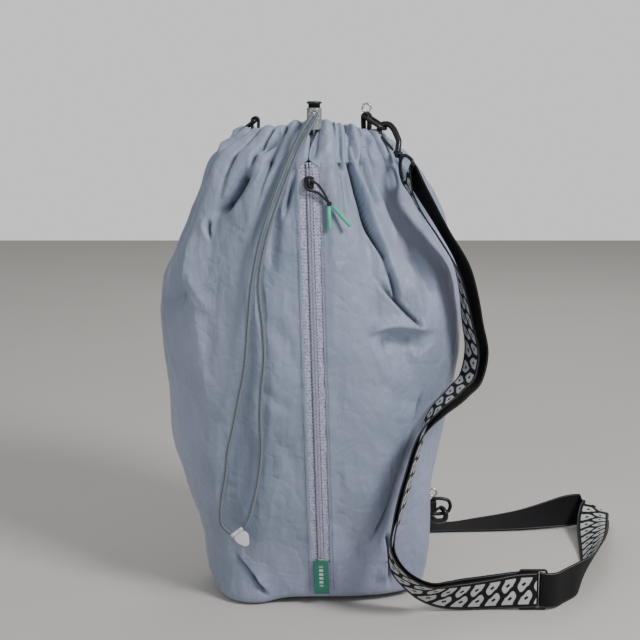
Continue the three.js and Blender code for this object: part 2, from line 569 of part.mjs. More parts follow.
// Stations of the single run from the tri-glide to the lower hook: middle and half-width vector.
const SINGLE = [
  [[240.2, -82.5, 22.3], [0, 0, 1]], [[246, -82.5, 21.8], [0, 0, 1]], [[254, -77, 20.8], [0, 0, 1]],
  [[262.5, -66.5, 20.2], [0, 0, 1]], [[270.5, -57, 20], [0, 0, 1]], [[278, -49, 20], [0, 0, 1]],
  [[285.5, -38, 19.8], [0.05, -0.08, 0.99]], [[299, -8, 18], [0.43, 0.02, 0.9]],
  [[314, 40, 16], [0.62, 0.04, 0.78]], [[325, 87, 15.2], [0.84, 0, 0.54]],
  [[335, 140, 17.8], [0.98, 0.05, 0.12]],
  [[341.5, 168, 21.4], [0.93, 0.28, -0.3]],
];
const FOLD = { centre: [346, 184, 23.4], half: [17.8, 7.6, -11.8], round: 1.7 };
const FAR = [
  [[331, 186.5, 20.6], [0.35, -0.1, -0.93]], [[316, 186, 18.8], [0.02, -0.42, -0.9]],
  [[302, 185, 16.2], [0, -0.66, -0.75]], [[277, 183.5, 11.4], [0, -0.86, -0.5]],
  [[252, 181, 7.8], [0, -0.95, -0.31]], [[205, 178, 3.6], [0, -0.99, -0.1]],
  [[154, 175, 2], [0, -1, 0]], [[130, 171, 9.4], [0.15, -0.9, -0.4]],
  [[111, 158, 15.2], [0.5, -0.5, -0.7]], [[104, 139, 19.8], [0.2, -0.2, -0.96]],
];

const spline = (values) => new THREE.CatmullRomCurve3(values, false, "centripetal");

// Resamples stations [centre, direction, extra] evenly, `count` spans.
function resample(stations, count) {
  const centres = spline(stations.map(([c]) => vec(...c)));
  const edges = spline(stations.map(([c, w]) => along(vec(...c), [unit(...w), STRAP_HALF])));
  const extras = spline(stations.map(([, , extra = 0], i) => vec(i, extra, 0)));
  return Array.from({ length: count + 1 }, (_, i) => {
    const s = i / count;
    return { centre: centres.getPoint(s), edge: edges.getPoint(s), extra: extras.getPoint(s).y };
  });
}

// Turns samples into stations whose half-width vector is square to the direction of travel.
function squared(samples) {
  return samples.map(({ centre, edge, extra }, i) => {
    const next = samples[Math.min(i + 1, samples.length - 1)].centre;
    const last = samples[Math.max(i - 1, 0)].centre;
    const travel = new THREE.Vector3().subVectors(next, last).normalize();
    const half = new THREE.Vector3().subVectors(edge, centre).projectOnPlane(travel).setLength(STRAP_HALF);
    return { centre, half, travel, extra };
  });
}

// Moves stations of the doubled strap to one of its layers: side 1 is the outer one.
function layer(stations, side) {
  return stations.map(({ centre, half, travel, extra }) => {
    const normal = new THREE.Vector3().crossVectors(half, travel).normalize();
    return { centre: along(centre, [normal, side * extra]), half };
  });
}

// A flat strap through stations {centre, half}.
function ribbon(stations) {
  const rings = stations.map(({ centre, half }, i) => {
    const next = stations[Math.min(i + 1, stations.length - 1)].centre;
    const last = stations[Math.max(i - 1, 0)].centre;
    const travel = new THREE.Vector3().subVectors(next, last);
    const normal = new THREE.Vector3().crossVectors(half, travel).normalize();
    return [[-1, -1], [1, -1], [1, 1], [-1, 1]].map(([across, up]) =>
      along(centre, [half, across], [normal, (up * STRAP_THICK) / 2]));
  });
  return loft(rings);
}

// Quarter turn of a strap layer around the bar of a hook's eye.
function eyeTurn({ bar, barAxis, outward }, side) {
  const reach = EYE_WIRE + GAP + STRAP_THICK / 2;
  const sideways = new THREE.Vector3().crossVectors(barAxis, outward).setLength(side * reach);
  const half = barAxis.clone().setLength(STRAP_HALF);
  return [0.06, 0.3, 0.6, 1].map((s) => {
    const angle = (s * Math.PI) / 2;
    return { centre: along(bar, [outward, -reach * Math.cos(angle)], [sideways, Math.sin(angle)]), half };
  });
}

// The strap turned over a slanting crease: it comes in, rolls over the crease and goes back under.
function strapFold(before) {
  const centre = vec(...FOLD.centre);
  const half = vec(...FOLD.half);
  const travel = new THREE.Vector3().subVectors(centre, before.centre).projectOnPlane(half).normalize();
  const over = new THREE.Vector3().crossVectors(half, travel).normalize();
  if (over.z < 0) over.negate();
  return [-90, -45, 0, 45, 90].map((degrees) => {
    const angle = THREE.MathUtils.degToRad(degrees);
    const lift = -FOLD.round * Math.sin(angle);
    const reach = FOLD.round * Math.cos(angle);
    return { centre: along(centre, [over, lift], [travel, reach]), half };
  });
}

const upright = vec(0, 0, STRAP_HALF);
const atGlide = (x, y) => ({ centre: vec(GLIDE.x + x, GLIDE.y + y, GLIDE.z), half: upright });
const GLIDE_FRONT = -GLIDE.thick / 2 - GAP - STRAP_THICK / 2;
const GLIDE_BEHIND = GLIDE.thick / 2 + 2 * GAP + STRAP_THICK / 2;

// Two layers from the upper hook's eye to the tri-glide: the inner one ends on its bar's front,
// the outer one behind the bar, where the single run starts.
function addDoubledStrap(upper) {
  const doubled = squared(resample([...DOUBLED, GLIDE_ENTRY], 52));
  const outer = [...eyeTurn(upper, 1), ...layer(doubled, 1)];
  const inner = [...eyeTurn(upper, -1), ...layer(doubled, -1)];
  inner.push(atGlide(1.2, GLIDE_FRONT), atGlide(3.4, GLIDE_FRONT + 0.3));
  outer.push(atGlide(1.5, GLIDE_BEHIND), atGlide(3.6, GLIDE_BEHIND - 0.6), atGlide(5.9, GLIDE_BEHIND - 2));
  add("strap_outer_layer", ribbon(outer), blackWebbing);
  add("strap_inner_layer", ribbon(inner), blackWebbing);
}

function addSingleRun(lower) {
  const near = squared(resample(SINGLE, 26));
  const lead = [along(lower.bar, [lower.outward, 9]).toArray(), lower.barAxis.toArray()];
  const far = squared(resample([...FAR, lead], 30));
  const start = atGlide(6.6, GLIDE_BEHIND - 2.5);
  const stations = [start, ...near, ...strapFold(near.at(-1)), ...far, ...eyeTurn(lower, 1).reverse()];
  add("strap_single_run", ribbon(stations), blackWebbing);
}

function addTriGlide() {
  const centre = vec(GLIDE.x, GLIDE.y, GLIDE.z);
  const axes = [vec(1, 0, 0), vec(0, 1, 0), vec(0, 0, 1)];
  const width = 2 * GLIDE.slot + GLIDE.bar + 2 * GLIDE.rim;
  const offset = (GLIDE.slot + GLIDE.bar) / 2;
  const opening = (side) => boxOn(along(centre, [axes[0], side * offset]), axes,
    [GLIDE.slot, 2 * GLIDE.thick, GLIDE.height - 2 * GLIDE.rim]);
  const plate = boxOn(centre, axes, [width, GLIDE.thick, GLIDE.height]);
  add("tri_glide", cut(plate, opening(-1), opening(1)), blackPlastic);
}

// ---------------------------------------------------------------- assembly
addBody();
addZipFoot();
addZip();
addZipPull(addSlider());
addChannel();
addDrawcord();
addCordLock();
addTails();

addTabAndRing("top_left", TOP_LEFT.origin, TOP_LEFT, { tabLength: 19, ringReach: 20 });
addTabAndRing("top_right", TOP_RIGHT.origin, TOP_RIGHT, { tabLength: 21, ringReach: TOP_RIGHT_REACH });
addTabAndRing("lower_right", LOWER_RIGHT.origin, LOWER_RIGHT, { tabLength: 19.5, ringReach: 20 });
const zUp = vec(0, 0, 1);
const rivetAxis = vec(0, -1, 0);
addRivetRing("top_right_rivet_ring", along(TOP_RIGHT.origin, [zUp, 8.8]), rivetAxis, vec(1, 0, 0));
addRivetRing("lower_right_rivet_ring", along(LOWER_RIGHT.origin, [zUp, 16]), rivetAxis, vec(1, 0, 0));

const square = (direction, axis) => direction.projectOnPlane(axis).normalize();
const upperAxis = unit(0.42, -0.46, -0.8);
const upperHeld = along(TOP_RIGHT.origin, [TOP_RIGHT.hang, TOP_RIGHT_REACH]);
const upperEye = addHook("upper_hook", upperHeld, upperAxis, square(vec(0.9, 0.05, 0.4), upperAxis),
  square(vec(0.2, -0.9, 0.4), upperAxis));

const lowerAxis = unit(-0.4, 0.816, -0.417);
const lowerHeld = along(LOWER_RIGHT.origin, [LOWER_RIGHT.hang, 12], [zUp, -8.6]);
const lowerEye = addHook("lower_hook", lowerHeld, lowerAxis, square(vec(0.3, -0.3, -0.9), lowerAxis),
  square(vec(0, -0.455, -0.89), lowerAxis));

addDoubledStrap(upperEye);
addSingleRun(lowerEye);
addTriGlide();

export default bag;
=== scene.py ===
"""Looks of the drawstring shoe bag: gathered nylon body, zip, cords, hooks and webbing strap.

Lengths in this script are millimetres unless a name says otherwise; meshes are made in metres.
"""
import math

import bpy
import numpy as np
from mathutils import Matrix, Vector


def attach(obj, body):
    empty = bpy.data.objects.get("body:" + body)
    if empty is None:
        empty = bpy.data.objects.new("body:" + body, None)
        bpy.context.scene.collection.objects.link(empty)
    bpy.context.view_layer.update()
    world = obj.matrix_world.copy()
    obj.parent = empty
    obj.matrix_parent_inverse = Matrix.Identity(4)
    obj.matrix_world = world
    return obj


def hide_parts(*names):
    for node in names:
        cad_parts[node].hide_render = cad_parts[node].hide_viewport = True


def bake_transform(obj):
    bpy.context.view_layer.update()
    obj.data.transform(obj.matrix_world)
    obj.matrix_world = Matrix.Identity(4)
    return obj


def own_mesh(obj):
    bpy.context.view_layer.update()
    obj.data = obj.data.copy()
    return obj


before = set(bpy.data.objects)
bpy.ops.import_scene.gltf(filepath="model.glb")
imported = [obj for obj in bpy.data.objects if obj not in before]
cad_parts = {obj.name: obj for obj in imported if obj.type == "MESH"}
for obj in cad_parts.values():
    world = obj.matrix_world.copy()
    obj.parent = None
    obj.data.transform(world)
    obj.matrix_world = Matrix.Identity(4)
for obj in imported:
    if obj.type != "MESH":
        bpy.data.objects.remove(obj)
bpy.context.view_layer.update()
METRE = 0.001
TURN = 2 * math.pi

# ---------------------------------------------------------------- driving dimensions
CHANNEL_BOTTOM = 463.0
RIM_TOP = 488.5
# (height, half width to the left, half width to the right)
WIDTH_PROFILE = [
    (0, 98, 117), (12, 104, 122), (36, 111, 126), (64, 116, 127), (99, 126, 127),
    (121, 134, 128), (149, 144, 133), (176, 149, 140), (215, 152, 147), (258, 156, 155),
    (301, 157.5, 157.5), (340, 152, 157), (365, 141, 155), (402, 124, 148), (426, 114, 138),
    (446, 107, 121), (463, 98, 103), (488.5, 67, 76),
]
# (height, power of the plan's rounded outline: 2 is an ellipse)
SQUARENESS = [(0, 3), (60, 2.6), (120, 2.3), (200, 2.05), (500, 2)]
# The zip follows an arc in side view, fullest at ARC_MID_Z.
ARC_RADIUS = 739.0
ARC_MID_Z = 250.0
FRONT_DEPTH = 108.0
BACK_DEPTH = 110.5
RIM_DEPTH = 52.0
ZIP_LEAN = math.radians(1.7)
ZIP_MID_X = 4.4
ZIP_BOTTOM_Z = 52.0
ZIP_TOP_Z = 461.0
TAPE_HALF = 10.8
SLIDER_Z = 441.0
# Heights over the zip's face of the slider's two plates and of the foot of its crown.
SLIDER_PLATE = 3.1
SLIDER_UNDER = -2.1
CROWN_FOOT = 4.1
# The right shoulder is drawn in around this angle and height, by this share of its reach.
SHOULDER = {"angle": 58, "z": 418, "angle_spread": 30, "z_spread": 48, "share": 0.31}
CLOTH = 0.7
CORD = 4.5
PULL_CORD = 2.7
STRAP_HALF = 19.0
STRAP_THICK = 1.6
TAB_THICK = 2.3
TAB_HALF = 6.6
RING_WIRE = 2.0
RING_HALF = 8.8
HOOK_WIRE = 2.9
GATE_WIRE = 1.6
EYE_WIRE = 1.9
JAW_DEPTH = 3.4  # from the ring's wire to the middle of the jaw that holds it
EYE_REACH = 52.5  # from the middle of a hook's jaw to the bar of its eye
COIL_PITCH = 2.1
# Middle of a coil across the zip and over its face, and half the size of its loops each way.
COIL_MIDDLE, COIL_HALF = 1.38, 1.32
COIL_HEIGHT, COIL_RISE = 1.05, 0.62
GATHER_COUNT = 52
SHELL_COLUMNS = 660
POINT = 0.01  # radius that closes a turned body on its axis

rng = np.random.default_rng(11)


# ---------------------------------------------------------------- small helpers
def unit(v):
    v = np.asarray(v, float)
    return v / np.linalg.norm(v)


def smoothstep(low, high, x):
    t = np.clip((np.asarray(x, float) - low) / (high - low), 0, 1)
    return t * t * (3 - 2 * t)


def spline(points, count):
    """Centripetal Catmull-Rom curve through the points, the same one as the CAD model's routes."""
    p = np.asarray(points, float)
    p = np.vstack([2 * p[0] - p[1], p, 2 * p[-1] - p[-2]])
    knots = np.concatenate([[0], np.cumsum(np.linalg.norm(np.diff(p[:, :3], axis=0), axis=1) ** 0.5)])
    out = []
    for s in np.linspace(0, len(p) - 3, count):
        i = min(int(s), len(p) - 4)
        t0, t1, t2, t3 = knots[i:i + 4]
        t = t1 + (s - i) * (t2 - t1)
        a = [((knots[i + k + 1] - t) * p[i + k] + (t - knots[i + k]) * p[i + k + 1])
             / (knots[i + k + 1] - knots[i + k]) for k in range(3)]
        b1 = ((t2 - t) * a[0] + (t - t0) * a[1]) / (t2 - t0)
        b2 = ((t3 - t) * a[1] + (t - t1) * a[2]) / (t3 - t1)
        out.append(((t2 - t) * b1 + (t - t1) * b2) / (t2 - t1))
    return np.array(out)


def even(path, step):
    """The path's points again, evenly spaced about `step` apart."""
    lengths = running_length(path[:, :3])
    at = np.linspace(0, lengths[-1], max(2, int(round(lengths[-1] / step)) + 1))
    return np.stack([np.interp(at, lengths, path[:, k]) for k in range(path.shape[1])], 1)


def running_length(points):
    """Distance along a path to each of its points."""
    return np.concatenate([[0], np.cumsum(np.linalg.norm(np.diff(points, axis=0), axis=1))])


def path_length(path):
    return float(np.linalg.norm(np.diff(path, axis=0), axis=1).sum())


def new_piece(name, points, faces, uv, materials, body, replaces=(), slot=None, looks=None):
    """A smooth mesh piece from points in millimetres; looks holds its faces' material numbers.
    """
    mesh = bpy.data.meshes.new(name)
    mesh.from_pydata((np.asarray(points) * METRE).tolist(), [], [list(f) for f in faces])
    for look in materials if isinstance(materials, list) else [materials]:
        mesh.materials.append(look)
    if uv is not None:
        corners = np.array([v for f in faces for v in f])
        mesh.uv_layers.new(name="UVMap").data.foreach_set("uv", np.asarray(uv)[corners].ravel())
    if looks is not None:
        mesh.polygons.foreach_set("material_index", np.asarray(looks, int))
    mesh.polygons.foreach_set("use_smooth", [True] * len(mesh.polygons))
    mesh.update()
    piece = bpy.data.objects.new(name, mesh)
    bpy.context.scene.collection.objects.link(piece)
    if body:
        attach(piece, body)
    if replaces:
        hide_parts(*replaces)
    return piece


def grid_faces(rows, columns, wrap=False, start=0):
    faces = []
    for r in range(rows - 1):
        for c in range(columns if wrap else columns - 1):
            d = (c + 1) % columns
            faces.append((start + r * columns + c, start + r * columns + d,
                          start + (r + 1) * columns + d, start + (r + 1) * columns + c))
    return faces


def tube_faces(rows, around):
    """Faces of a tube made of rings, with a flat cap at each end."""
    return grid_faces(rows, around, wrap=True) + [tuple(range(around - 1, -1, -1)),
                                                  tuple(range((rows - 1) * around, rows * around))]


def modifier(piece, kind, **settings):
    made = piece.modifiers.new(kind.title(), kind)
    for key, value in settings.items():
        setattr(made, key, value)
    return made


# ---------------------------------------------------------------- swept shapes
def frames_along(path, up=None, closed=False):
    """Tangent and two side vectors at each point, carried along without twisting."""
    ahead = np.roll(path, -1, 0) - np.roll(path, 1, 0)
    if not closed:
        ahead[0] = path[1] - path[0]
        ahead[-1] = path[-1] - path[-2]
    ahead /= np.linalg.norm(ahead, axis=1)[:, None]
    side = np.zeros_like(path)
    first = np.asarray(up, float) if up is not None else np.array([0.3, 0.2, 1.0])
    side[0] = unit(first - first @ ahead[0] * ahead[0])
    for i in range(1, len(path)):
        carried = side[i - 1] - side[i - 1] @ ahead[i] * ahead[i]
        side[i] = carried / np.linalg.norm(carried)
    return ahead, side, np.cross(ahead, side)


def sweep(path, section, closed=False, up=None, scale=None, caps=True):
    """Points, faces and uv of a section (list of side, over pairs) carried along a path."""
    path = np.asarray(path, float)
    _, side, over = frames_along(path, up, closed)
    section = np.asarray(section, float)
    scale = np.ones(len(path)) if scale is None else np.asarray(scale, float)
    n = len(section)
    spread = section[None, :, :1] * side[:, None] + section[None, :, 1:] * over[:, None]
    points = (path[:, None] + scale[:, None, None] * spread).reshape(-1, 3)
    rows = len(path)
    faces = []
    for r in range(rows if closed else rows - 1):
        a, b = r * n, ((r + 1) % rows) * n
        for i in range(n):
            j = (i + 1) % n
            faces.append((a + i, b + i, b + j, a + j))
    if not closed and caps:
        faces.append(tuple(range(n)))
        faces.append(tuple(range(rows * n - 1, (rows - 1) * n - 1, -1)))
    lengths = running_length(path)
    uv = np.stack([np.tile(np.arange(n) / n, rows), np.repeat(lengths, n) * METRE], 1)
    return points, faces, uv


def round_section(radius, sides=12, flat=1.0):
    angle = np.arange(sides) * 2 * math.pi / sides
    return np.stack([radius * np.cos(angle), radius * flat * np.sin(angle)], 1)


def merged(parts):
    """Several (points, faces, uv) as one."""
    points, faces, uvs, start = [], [], [], 0
    for p, f, uv in parts:
        points.append(p)
        faces += [tuple(i + start for i in face) for face in f]
        uvs.append(uv)
        start += len(p)
    return np.vstack(points), faces, np.vstack(uvs)


def lathe(profile, centre, axis, sides=32):
    """A closed turned body: profile is a list of (radius, height) from end to end."""
    axis = unit(axis)
    side = unit(np.cross(axis, [0.31, 0.17, 0.93] if abs(axis[2]) < 0.9 else [1, 0, 0]))
    over = np.cross(axis, side)
    points = []
    for radius, height in profile:
        for k in range(sides):
            a = 2 * math.pi * k / sides
            points.append(np.asarray(centre) + axis * height
                          + radius * (side * math.cos(a) + over * math.sin(a)))
    rows = len(profile)
    uv = np.stack([np.tile(np.arange(sides) / sides, rows),
                   np.repeat([h * METRE for _, h in profile], sides)], 1)
    return np.array(points), tube_faces(rows, sides), uv


def rectangle(a, b):
    """Corners of a rectangle from -a to a and from -b to b."""
    return [(-a, -b), (a, -b), (a, b), (-a, b)]


def rounded_outline(corners, radius, steps=5):
    """An outline with its corners rounded by arcs of about the radius."""
    corners = np.asarray(corners, float)
    out = []
    for i, corner in enumerate(corners):
        before, after = corners[i - 1] - corner, corners[(i + 1) % len(corners)] - corner
        reach = min(radius, np.linalg.norm(before) * 0.45, np.linalg.norm(after) * 0.45)
        a, b = corner + unit(before) * reach, corner + unit(after) * reach
        for t in np.linspace(0, 1, steps):
            out.append((1 - t) ** 2 * a + 2 * t * (1 - t) * corner + t * t * b)
    return np.array(out)


def rounded_plate(corners, thick, origin, u, v, bevel, corner_radius):
    """A flat plate with rounded corners and edges, in the plane of the axes u and v."""
    outline = rounded_outline(corners, corner_radius)
    middle = outline.mean(0)
    reach = np.linalg.norm(outline - middle, axis=1).mean()
    w = unit(np.cross(u, v))
    points = []
    for share in np.linspace(-1, 1, 9):
        turn = share * math.pi / 2
        inset = bevel * (1 - math.cos(turn))
        level = math.copysign(thick / 2 - bevel + bevel * abs(math.sin(turn)), share) if share else 0
        ring = middle + (outline - middle) * (1 - inset / reach)
        points.append(np.asarray(origin) + ring[:, :1] * u + ring[:, 1:] * v + level * w)
    uv = np.tile(outline * METRE, (len(points), 1))
    return np.vstack(points), tube_faces(len(points), len(outline)), uv


# ---------------------------------------------------------------- materials
class Nodes:
    """Short forms for building a material's node tree."""

    def __init__(self, name):
        self.material = bpy.data.materials.new(name)
        self.material.use_nodes = True
        self.tree = self.material.node_tree
        self.shader = self.tree.nodes["Principled BSDF"]
        self.coords = self.tree.nodes.new("ShaderNodeTexCoord")

    def add(self, kind, inputs=None, **settings):
        node = self.tree.nodes.new("ShaderNode" + kind)
        for key, value in settings.items():
            setattr(node, key, value)
        for key, value in (inputs or {}).items():
            self.feed(node.inputs[key], value)
        return node

    def feed(self, socket, value):
        if isinstance(value, bpy.types.NodeSocket):
            self.tree.links.new(value, socket)
        else:
            socket.default_value = value

    def math(self, operation, a, b=0.0, c=0.0):
        return self.add("Math", {0: a, 1: b, 2: c}, operation=operation).outputs[0]

    def noise(self, scale, detail=3.0, vector=None, roughness=0.55, distortion=0.0):
        return self.add("TexNoise", {
            "Vector": vector or self.coords.outputs["Object"], "Scale": scale, "Detail": detail,
            "Roughness": roughness, "Distortion": distortion}).outputs["Fac"]

    def ramp(self, value, stops):
        node = self.add("ValToRGB", {"Fac": value})
        ramp = node.color_ramp
        while len(ramp.elements) < len(stops):
            ramp.elements.new(0.5)
        for element, (position, colour) in zip(ramp.elements, stops):
            element.position = position
            element.color = (*colour, 1)
        return node.outputs["Color"]

    def grey(self, value, stops):
        return self.ramp(value, [(p, (v, v, v)) for p, v in stops])

    def mix(self, share, a, b):
        node = self.add("Mix", data_type="RGBA")
        self.feed(node.inputs["Factor"], share)
        for socket, value in ((node.inputs[6], a), (node.inputs[7], b)):
            self.feed(socket, value if isinstance(value, bpy.types.NodeSocket) else (*value, 1))
        return node.outputs[2]

    def bump(self, height, distance, strength=1.0, normal=None):
        inputs = {"Height": height, "Distance": distance, "Strength": strength}
        if normal is not None:
            inputs["Normal"] = normal
        return self.add("Bump", inputs).outputs["Normal"]

    def stretched(self, source, scale):
        return self.add("Mapping", {"Vector": source, "Scale": scale}).outputs["Vector"]

    def times(self, a, b):
        return self.math("MULTIPLY", a, b)

    def plus(self, a, b):
        return self.math("ADD", a, b)

    def minus(self, a, b):
        return self.math("SUBTRACT", a, b)

    def across_and_along(self):
        """The uv's two parts: share of the way across or around, and metres along."""
        parts = self.add("SeparateXYZ", {"Vector": self.coords.outputs["UV"]})
        return parts.outputs["X"], parts.outputs["Y"]

    def off_middle(self, value):
        """How far the value is from a half."""
        return self.math("ABSOLUTE", self.minus(value, 0.5))

    def zigzag(self, value):
        """Falls from a half to nothing and rises again in each unit of the value."""
        return self.off_middle(self.math("FRACT", value))

    def crossed(self, one, two):
        """Product of two waves, brought into the range from 0 to 1."""
        return self.math("MULTIPLY_ADD", self.times(one, two), 0.5, 0.5)

    def sine(self, value, rate):
        return self.math("SINE", self.times(value, rate))

    def finish(self, colour, roughness, normal=None, **fixed):
        self.feed(self.shader.inputs["Base Color"], colour)
        self.feed(self.shader.inputs["Roughness"], roughness)
        if normal is not None:
            self.feed(self.shader.inputs["Normal"], normal)
        for key, value in fixed.items():
            self.shader.inputs[key.replace("_", " ")].default_value = value
        return self.material


def nylon_material(name="nylon_cloth", dark=(0.192, 0.234, 0.325), light=(0.300, 0.350, 0.470)):
    """Thin nylon: patches of blue and lavender, painted shade inside deep folds, with four sizes of
    crinkle.
    """
    n = Nodes(name)
    place = n.coords.outputs["Object"]
    tint = n.noise(7, 4)
    lavender = n.mix(n.grey(n.noise(3.2, 2), [(0.38, 0), (0.66, 1)]), light, (0.305, 0.328, 0.480))
    colour = n.mix(n.grey(tint, [(0.3, 0), (0.62, 1)]), dark, lavender)
    # painted shade: the stored fold depth darkens the colour towards near black deep in the folds
    sunk = n.add("Attribute", attribute_name="painted_fold_shade").outputs["Fac"]
    # painted shade mixed into the cloth colour, 0.12 times the dark tone at full depth
    colour = n.mix(n.times(sunk, 0.85), colour, tuple(c * 0.12 for c in dark))
    wander = n.add("TexNoise", {"Vector": place, "Scale": 24.0, "Detail": 3.0}).outputs["Color"]
    crinkle = n.add("TexVoronoi", {"Vector": n.mix(0.035, place, wander), "Scale": 52.0},
                    feature="DISTANCE_TO_EDGE").outputs["Distance"]
    sharp = n.grey(crinkle, [(0.0, 0), (0.22, 1)])
    soft = n.noise(38, 5, roughness=0.6, distortion=0.7)
    long_folds = n.noise(1, 4, vector=n.stretched(place, (46, 46, 14)), distortion=0.4)
    weave = n.noise(900, 2)
    normal = n.bump(long_folds, 0.006, 0.45)
    normal = n.bump(soft, 0.0024, 0.45, normal)
    normal = n.bump(sharp, 0.0009, 0.45, normal)
    normal = n.bump(weave, 0.00012, 0.35, normal)
    roughness = n.grey(n.noise(60, 3), [(0.3, 0.46), (0.7, 0.6)])
    return n.finish(colour, roughness, normal, Sheen_Weight=0.25, Sheen_Roughness=0.4,
                    Specular_IOR_Level=0.45)


def tape_material():
    """Herringbone zip tape: pale lavender threads with fine dark gaps, and painted shade in bands along
    both edges where the tape runs under the coil and under the cloth; uv is across and along.
    """
    rows_per_metre = 310.0
    n = Nodes("zip_tape_cloth")
    across, length = n.across_and_along()
    herringbone = n.zigzag(n.times(across, 4.0))
    phase = n.plus(n.times(length, rows_per_metre), n.times(herringbone, 2.4))
    twill = n.zigzag(phase)
    speckle = n.noise(620, 3)
    height = n.plus(twill, n.times(speckle, 0.95))
    colour = n.ramp(height, [(0.46, (0.085, 0.095, 0.14)), (0.68, (0.29, 0.31, 0.44)),
                             (0.92, (0.70, 0.72, 0.92))])
    # painted shade: darker bands where the tape runs under the coil and under the cloth's edge
    edge = n.grey(across, [(0.0, 0.42), (0.05, 1), (0.86, 1), (0.93, 0.35), (1.0, 0.8)])
    shaded = n.add("Mix", data_type="RGBA", blend_type="MULTIPLY")
    shaded.inputs["Factor"].default_value = 1
    n.feed(shaded.inputs[6], colour)
    n.feed(shaded.inputs[7], edge)
    return n.finish(shaded.outputs[2], 0.82, n.bump(height, 0.0006, 0.8), Sheen_Weight=0.2)


def coil_material():
    """Pale lavender plastic of the zip's coils."""
    n = Nodes("zip_coil_nylon")
    colour = n.ramp(n.noise(500, 2), [(0.35, (0.36, 0.37, 0.49)), (0.7, (0.56, 0.57, 0.74))])
    return n.finish(colour, 0.42, n.bump(n.noise(2500, 2), 0.0001, 0.4))


def braid_material(name, pale, deep, cells, per_metre):
    """Round braid: crossing diagonal strands from the tube's own uv, with loose fibres; the near-black
    gaps between strands and four dark stripes along the cord are painted shade.
    """
    n = Nodes(name)
    around, length = n.across_and_along()
    around = n.times(around, cells)
    length = n.times(length, per_metre)
    one = n.sine(n.plus(around, length), TURN)
    two = n.sine(n.minus(around, length), TURN)
    strands = n.crossed(one, two)
    fibre = n.noise(2600, 3)
    height = n.plus(strands, n.times(fibre, 0.5))
    # the strands' pattern is the braid's own; their near-black gaps are painted shade
    colour = n.ramp(height, [(0.25, deep), (0.75, pale), (1.2, pale)])
    # painted shade: four dark stripes along the cord stand in for the shade at its edges
    colour = n.mix(n.grey(n.zigzag(around), [(0.30, 0), (0.39, 0.85)]), colour, deep)
    return n.finish(colour, 0.8, n.bump(height, 0.0006, 0.8), Sheen_Weight=0.2)


def webbing_material(name, patterned):
    """Woven strap face: plain black, or with a generic figure of waving bands, a spine and spots."""
    ribs_across, picks_per_metre, figure_length = 30, 640, 0.0168
    n = Nodes(name)
    across, length = n.across_and_along()
    ribs = n.sine(across, TURN * ribs_across)
    picks = n.sine(length, TURN * picks_per_metre)
    weave = n.crossed(ribs, picks)
    black = n.ramp(weave, [(0.2, (0.004, 0.004, 0.005)), (0.9, (0.012, 0.012, 0.014))])
    middle = n.off_middle(across)
    selvage = n.grey(middle, [(0.455, 0), (0.462, 1), (0.474, 1), (0.481, 0)])
    colour = n.mix(n.times(selvage, n.grey(picks, [(0.4, 0.15), (0.6, 0.55)])), black,
                   (0.42, 0.43, 0.45))
    if patterned:
        turn = n.times(length, TURN / figure_length)
        sway = n.times(n.sine(across, 2 * TURN), 0.11)
        step = n.math("FRACT", n.plus(n.times(length, 1 / figure_length), sway))
        crossing = n.grey(n.off_middle(step), [(0.15, 0), (0.18, 1)])
        spine = n.minus(across, n.math("MULTIPLY_ADD", n.math("SINE", turn), 0.09, 0.5))
        spine = n.grey(n.math("ABSOLUTE", spine), [(0.06, 0), (0.08, 1)])
        half_step = n.zigzag(n.plus(step, 0.5))
        spot = n.plus(n.times(half_step, 0.45), n.math("ABSOLUTE", n.minus(middle, 0.2)))
        spot = n.grey(spot, [(0.055, 0), (0.075, 1)])
        band = n.grey(middle, [(0.375, 1), (0.39, 0)])
        thread = n.grey(weave, [(0.15, 0.6), (0.6, 1)])
        figure = n.times(n.times(crossing, spine), n.times(spot, band))
        white = n.times(figure, thread)
        colour = n.mix(white, colour, (0.56, 0.57, 0.58))
    return n.finish(colour, 0.85, n.bump(weave, 0.0004, 0.6), Sheen_Weight=0.03, Specular_IOR_Level=0.2)


def moulded_plastic(name, colour, roughness, specular=0.5, coat=0.0):
    """Solid plastic or rubber, slightly mottled and grained."""
    n = Nodes(name)
    shade = n.mix(n.noise(90, 3), tuple(c * 0.8 for c in colour), tuple(min(1, c * 1.2) for c in colour))
    rough = n.grey(n.noise(300, 4), [(0.3, roughness * 0.85), (0.7, roughness * 1.2)])
    return n.finish(shade, rough, n.bump(n.noise(1500, 2), 0.00008, 0.3), Specular_IOR_Level=specular,
                    Coat_Weight=coat)


def smoke_material():
    """See-through greenish plastic of the lock's barrel."""
    n = Nodes("smoke_plastic_clear")
    shade = n.ramp(n.noise(120, 3), [(0.35, (0.60, 0.66, 0.645)), (0.7, (0.74, 0.80, 0.785))])
    return n.finish(shade, 0.14, n.bump(n.noise(420, 3), 0.00012, 0.3), Transmission_Weight=0.72,
                    Coat_Weight=0.4)


def metal_material(name, colour, roughness):
    """Bare or plated metal with faint marks."""
    n = Nodes(name)
    shade = n.mix(n.noise(240, 4), tuple(c * 0.75 for c in colour), colour)
    rough = n.grey(n.noise(700, 3), [(0.3, roughness * 0.7), (0.7, roughness * 1.3)])
    return n.finish(shade, rough, n.bump(n.noise(900, 3), 0.00006, 0.35), Metallic=1.0)


